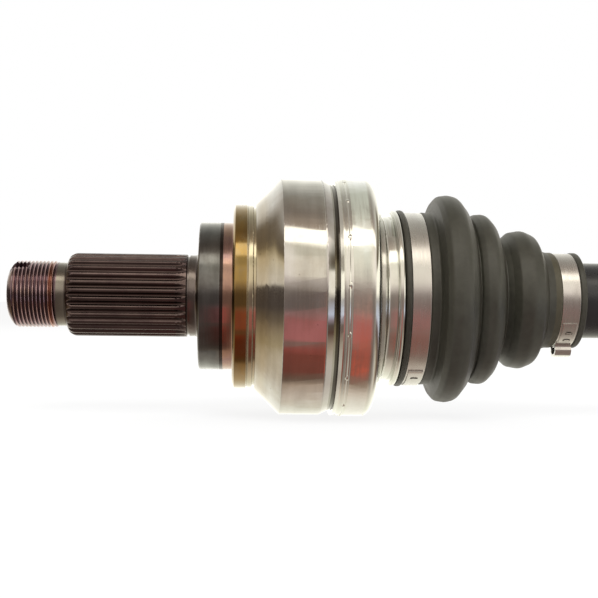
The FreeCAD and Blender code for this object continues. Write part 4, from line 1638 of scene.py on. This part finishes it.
    def lamp(self, name: str, place: tuple[float, float, float], size: float, power: float) -> None:
        """Hangs one soft square lamp that shines on the middle of the shaft's wheel end.

        Args:
            name: The lamp's name.
            place: Where it hangs.
            size: Its side.
            power: Its power in watts.
        """
        light = bpy.data.lights.new(name, "AREA")
        light.shape = "SQUARE"
        light.size = size * MM
        light.energy = power
        lamp = bpy.data.objects.new(name, light)
        lamp.location = Vector(place) * MM
        lamp.visible_glossy = False
        target = Vector((60.0, 0.0, 0.0)) * MM
        lamp.rotation_euler = (target - lamp.location).to_track_quat("-Z", "Y").to_euler()
        bpy.context.scene.collection.objects.link(lamp)

    def camera(self, scene: bpy.types.Scene) -> None:
        """The photograph's camera.

        Args:
            scene: The scene that gets the camera.
        """
        turn, dip, roll = (
            math.radians(angle) for angle in (self.aim_degrees, self.dip_degrees, self.roll_degrees)
        )
        forward = Vector((math.sin(turn) * math.cos(dip), math.cos(turn) * math.cos(dip), math.sin(dip)))
        level = forward.cross(Vector((0, 0, 1))).normalized()
        upright = level.cross(forward)
        right = math.cos(roll) * level + math.sin(roll) * upright
        up = right.cross(forward)
        data = bpy.data.cameras.new("photo_camera")
        data.lens = self.lens
        data.sensor_width = 36.0
        data.sensor_fit = "HORIZONTAL"
        data.clip_start = 0.01
        camera = bpy.data.objects.new("photo_camera", data)
        matrix = Matrix((right, up, -forward)).transposed().to_4x4()
        matrix.translation = Vector((self.camera_x, self.camera_y, 0.0)) * MM
        camera.matrix_world = matrix
        scene.collection.objects.link(camera)
        scene.camera = camera


@dataclass
class HalfShaft:
    """The whole shaft: what it takes from the frame and what is dressed anew."""

    gearbox_centre: float = 448.0
    outer_large_start: float = 80.0
    outer_small_start: float = 142.7
    inner_large_start: float = 19.3
    inner_small_start: float = 108.3
    small_collar: float = 12.8
    clamp_width: float = 7.4
    boot_wall: float = 2.3

    def dress_nodes(self, frame: dict, finishes: Finishes) -> None:
        """Gives the frame's own pieces their finishes.

        Args:
            frame: The loaded frame.
            finishes: The finishes.
        """
        chosen = {
            "bar": "bar_black", "hub_ring": "gold_plating", "outer_boot_cap": "cap_zinc",
            "outer_cap_seal": "seal_skin", "inner_housing": "turned_cup", "inner_oil_shield": "shield_zinc",
        }
        for name, obj in frame["nodes"].items():
            finish = chosen.get(name, "polished_ball" if "_ball_" in name else "hard_steel")
            obj.data.materials.clear()
            obj.data.materials.append(finishes[finish])
            LOG.info("dressed %s in %s", name, finish)

    def collar(self, start: float, end: float, seat: float, wall: float, lips: Pair) -> list[Corner]:
        """The corners of a boot's collar with the two lips that hold its clamp.

        Args:
            start: Where the collar begins.
            end: Where it ends.
            seat: The radius that it sits on.
            wall: Its thickness under the clamp.
            lips: How far the first and last lips stand up.

        Returns:
            The outer corners in order.
        """
        outside = seat + wall
        room = (end - start - self.clamp_width) / 2
        return [
            (start, seat + 0.5),
            (start, outside + lips[0], 0.9),
            (start + room - 0.1, outside + lips[0], 0.9),
            (start + room, outside),
            (end - room, outside),
            (end - room + 0.1, outside + lips[1], 0.8),
        ]

    def outer_boot(self) -> Boot:
        """The wheel boot with its three bulges.

        Returns:
            The boot.
        """
        large, small = self.outer_large_start, self.outer_small_start
        seat, bar = 31.5, 15.6
        valleys = [(93.6, 35.2), (109.5, 33.0), (121.8, 24.4), (139.6, 20.5)]
        crests = [(100.6, 42.3), (115.0, 34.8), (131.6, 28.2)]
        folds = [
            (93.3, 35.3, 0.8), (94.4, 37.2, 0.8), (95.3, 40.2, 1.2), (97.0, 42.2, 2.0), (100.6, 42.75, 5.0),
            (104.2, 42.0, 4.5), (107.7, 37.6, 4.0), (109.4, 32.6, 0.7),
            (110.3, 33.8, 0.8), (112.3, 34.9, 2.0), (116.2, 35.2, 3.5), (119.4, 31.8, 4.0),
            (121.3, 25.6, 2.2), (121.9, 23.9, 0.6),
            (124.4, 25.4, 1.2), (127.0, 27.8, 1.8), (132.0, 28.7, 4.5), (136.8, 26.6, 3.5),
            (139.1, 22.0, 1.6), (139.7, 20.6, 0.5),
        ]
        end = small + self.small_collar
        body = self.collar(large, large + 12.3, seat, 2.5, (2.3, 1.6)) + folds
        body += self.collar(small, end, bar, 2.8, (1.4, 1.4))[1:]
        body += [(end, bar + 4.2, 0.8), (end, bar + 0.4)]
        inside: list[Corner] = [(large, seat), (large + 12.2, seat)]
        inside += self.inner_wall(valleys, crests)
        inside += [(small + 3.0, bar + 0.02), (end, bar + 0.02)]
        joints = (Body.WHEEL, Body.OUTER_BOTTOM, Body.OUTER_CAGE, Body.OUTER_TOP, Body.BAR)
        places = (large + 13.7, large + 25.4, large + 34.0, large + 40.6, large + 48.4)
        return Boot(
            "outer_boot", body, inside, self.sections(joints, places), Body.BAR, Body.WHEEL, "outer_boot",
            (small - 0.4, small + 6.0),
        )

    def inner_boot(self) -> Boot:
        """The gearbox boot with its four bulges, drawn from its joint outwards and then turned round.

        Returns:
            The boot.
        """
        large, small = self.inner_large_start, self.inner_small_start
        seat, bar = 43.5, 15.9
        valleys = [
            (large + 19.6, 40.2), (large + 39.5, 35.9), (large + 56.5, 31.4), (large + 73.0, 26.5),
            (large + 88.4, 20.6),
        ]
        crests = [(large + 29.0, 45.6), (large + 47.6, 41.4), (large + 64.6, 36.3), (large + 81.0, 31.0)]
        folds = [(large + 16.0, 45.5, 0.8)] + self.lobes(valleys, crests)
        end = small + self.small_collar
        body = self.collar(large, large + 15.0, seat, 2.5, (1.2, 1.2)) + folds
        body += self.collar(small, end, bar, 2.5, (1.3, 1.3))[1:]
        body += [(end, bar + 3.8, 0.8), (end, bar + 0.1)]
        inside: list[Corner] = [(large, seat), (large + 15.0, seat)]
        inside += self.inner_wall(valleys, crests)
        inside += [(small + 3.0, bar + 0.02), (end, bar + 0.02)]
        turned = [self.turned_round(outline) for outline in (body, inside)]
        joints = (Body.GEARBOX, Body.CUP_BOOT, Body.INNER_BOTTOM, Body.INNER_CAGE, Body.INNER_TOP, Body.BAR)
        counted = (large + 17.6, large + 34.2, large + 43.5, large + 52.0, large + 60.5, large + 68.7)
        places = tuple(self.gearbox_centre - place for place in counted)
        low = self.gearbox_centre - small - self.small_collar
        return Boot(
            "inner_boot", turned[0], turned[1], self.sections(joints, places), Body.BAR, Body.GEARBOX,
            "inner_boot", (low + 6.8, low + 13.2),
        )

    def lobes(self, valleys: list[Pair], crests: list[Pair]) -> list[Corner]:
        """The fat round bulges of a boot between its tight valleys.

        Args:
            valleys: The valleys as (x, radius), one more than the crests.
            crests: The crests as (x, radius).

        Returns:
            The corners of the bulges in order.
        """
        corners: list[Corner] = []
        for before, crest, after in zip(valleys, crests, valleys[1:]):
            corners.append((before[0], before[1], 0.7))
            for side, foot in ((-1, before), (1, after)):
                reach, height = crest[0] - foot[0], crest[1] - foot[1]
                turns = range(1, 8) if side < 0 else range(8, 0, -1)
                for k in turns:
                    turn = math.pi / 2 * k / 8
                    across = math.cos(turn) ** 0.92
                    corners.append((crest[0] - reach * across, foot[1] + height * math.sin(turn) ** 0.86))
        corners.append((*valleys[-1], 0.7))
        return corners

    def inner_wall(self, valleys: list[Pair], crests: list[Pair]) -> list[Corner]:
        """The inner side of the bulges, one wall's thickness in.

        Args:
            valleys: The outer valleys as (x, radius).
            crests: The outer crests as (x, radius).

        Returns:
            The inner corners in order.
        """
        corners: list[Corner] = []
        for valley, crest in zip(valleys, crests):
            corners.append((valley[0], valley[1] - self.boot_wall, 1.2))
            corners.append((crest[0], crest[1] - self.boot_wall + 0.8, 4.0))
        corners.append((valleys[-1][0], valleys[-1][1] - self.boot_wall, 1.2))
        return corners

    def turned_round(self, corners: list[Corner]) -> list[Corner]:
        """The same corners counted from the gearbox joint towards the wheel, in the other order."""
        return [(self.gearbox_centre - corner[0], *corner[1:]) for corner in corners][::-1]

    def sections(self, joints: tuple[Body, ...], places: tuple[float, ...]) -> list[Section]:
        """The stretches of a boot between neighbouring bodies.

        Args:
            joints: The bodies from the joint's end of the boot to the bar.
            places: Where each stretch begins and the last one ends, in the same order.

        Returns:
            The stretches, each from the body nearer the bar to the other.
        """
        return [
            Section(joints[i + 1], joints[i], places[i + 1], places[i]) for i in range(len(joints) - 1)
        ]

    def clamps(self) -> list[BandClamp]:
        """The four band clamps of the two boots.

        Returns:
            The clamps from the wheel end on.
        """
        outer_large = self.outer_large_start + 6.15
        outer_small = self.outer_small_start + 6.4
        inner_large = self.gearbox_centre - self.inner_large_start - 7.5
        inner_small = self.gearbox_centre - self.inner_small_start - 6.4
        large = {"lap_start": 144.0, "windows": (0.13,)}
        small = {"lap_start": 118.0, "windows": (0.2, 0.42), "ear_angle": 168.0}
        return [
            BandClamp("outer_large_band", "outer_large_clamp", outer_large, 34.3, Body.WHEEL, **large),
            BandClamp("outer_small_band", "outer_small_clamp", outer_small, 18.4, Body.BAR, **small),
            BandClamp("inner_large_band", "inner_large_clamp", inner_large, 46.3, Body.GEARBOX, **large),
            BandClamp("inner_small_band", "inner_small_clamp", inner_small, 18.7, Body.BAR, **small),
        ]

    def build(self, frame: dict, finishes: Finishes) -> None:
        """Makes and dresses every piece.

        Args:
            frame: The loaded frame.
            finishes: The finishes.
        """
        self.dress_nodes(frame, finishes)
        WheelBell().build(frame, finishes)
        CapCrimps().build(finishes)
        for boot in (self.outer_boot(), self.inner_boot()):
            boot.build(finishes)
        for clamp in self.clamps():
            clamp.build(finishes)


def main() -> None:
    """Loads the frame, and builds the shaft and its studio."""
    logging.basicConfig(level=logging.INFO, format="%(name)s: %(message)s")
    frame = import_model()
    finishes = Finishes(Effects())
    HalfShaft().build(frame, finishes)
    Studio().build()


if __name__ == "__main__":
    main()
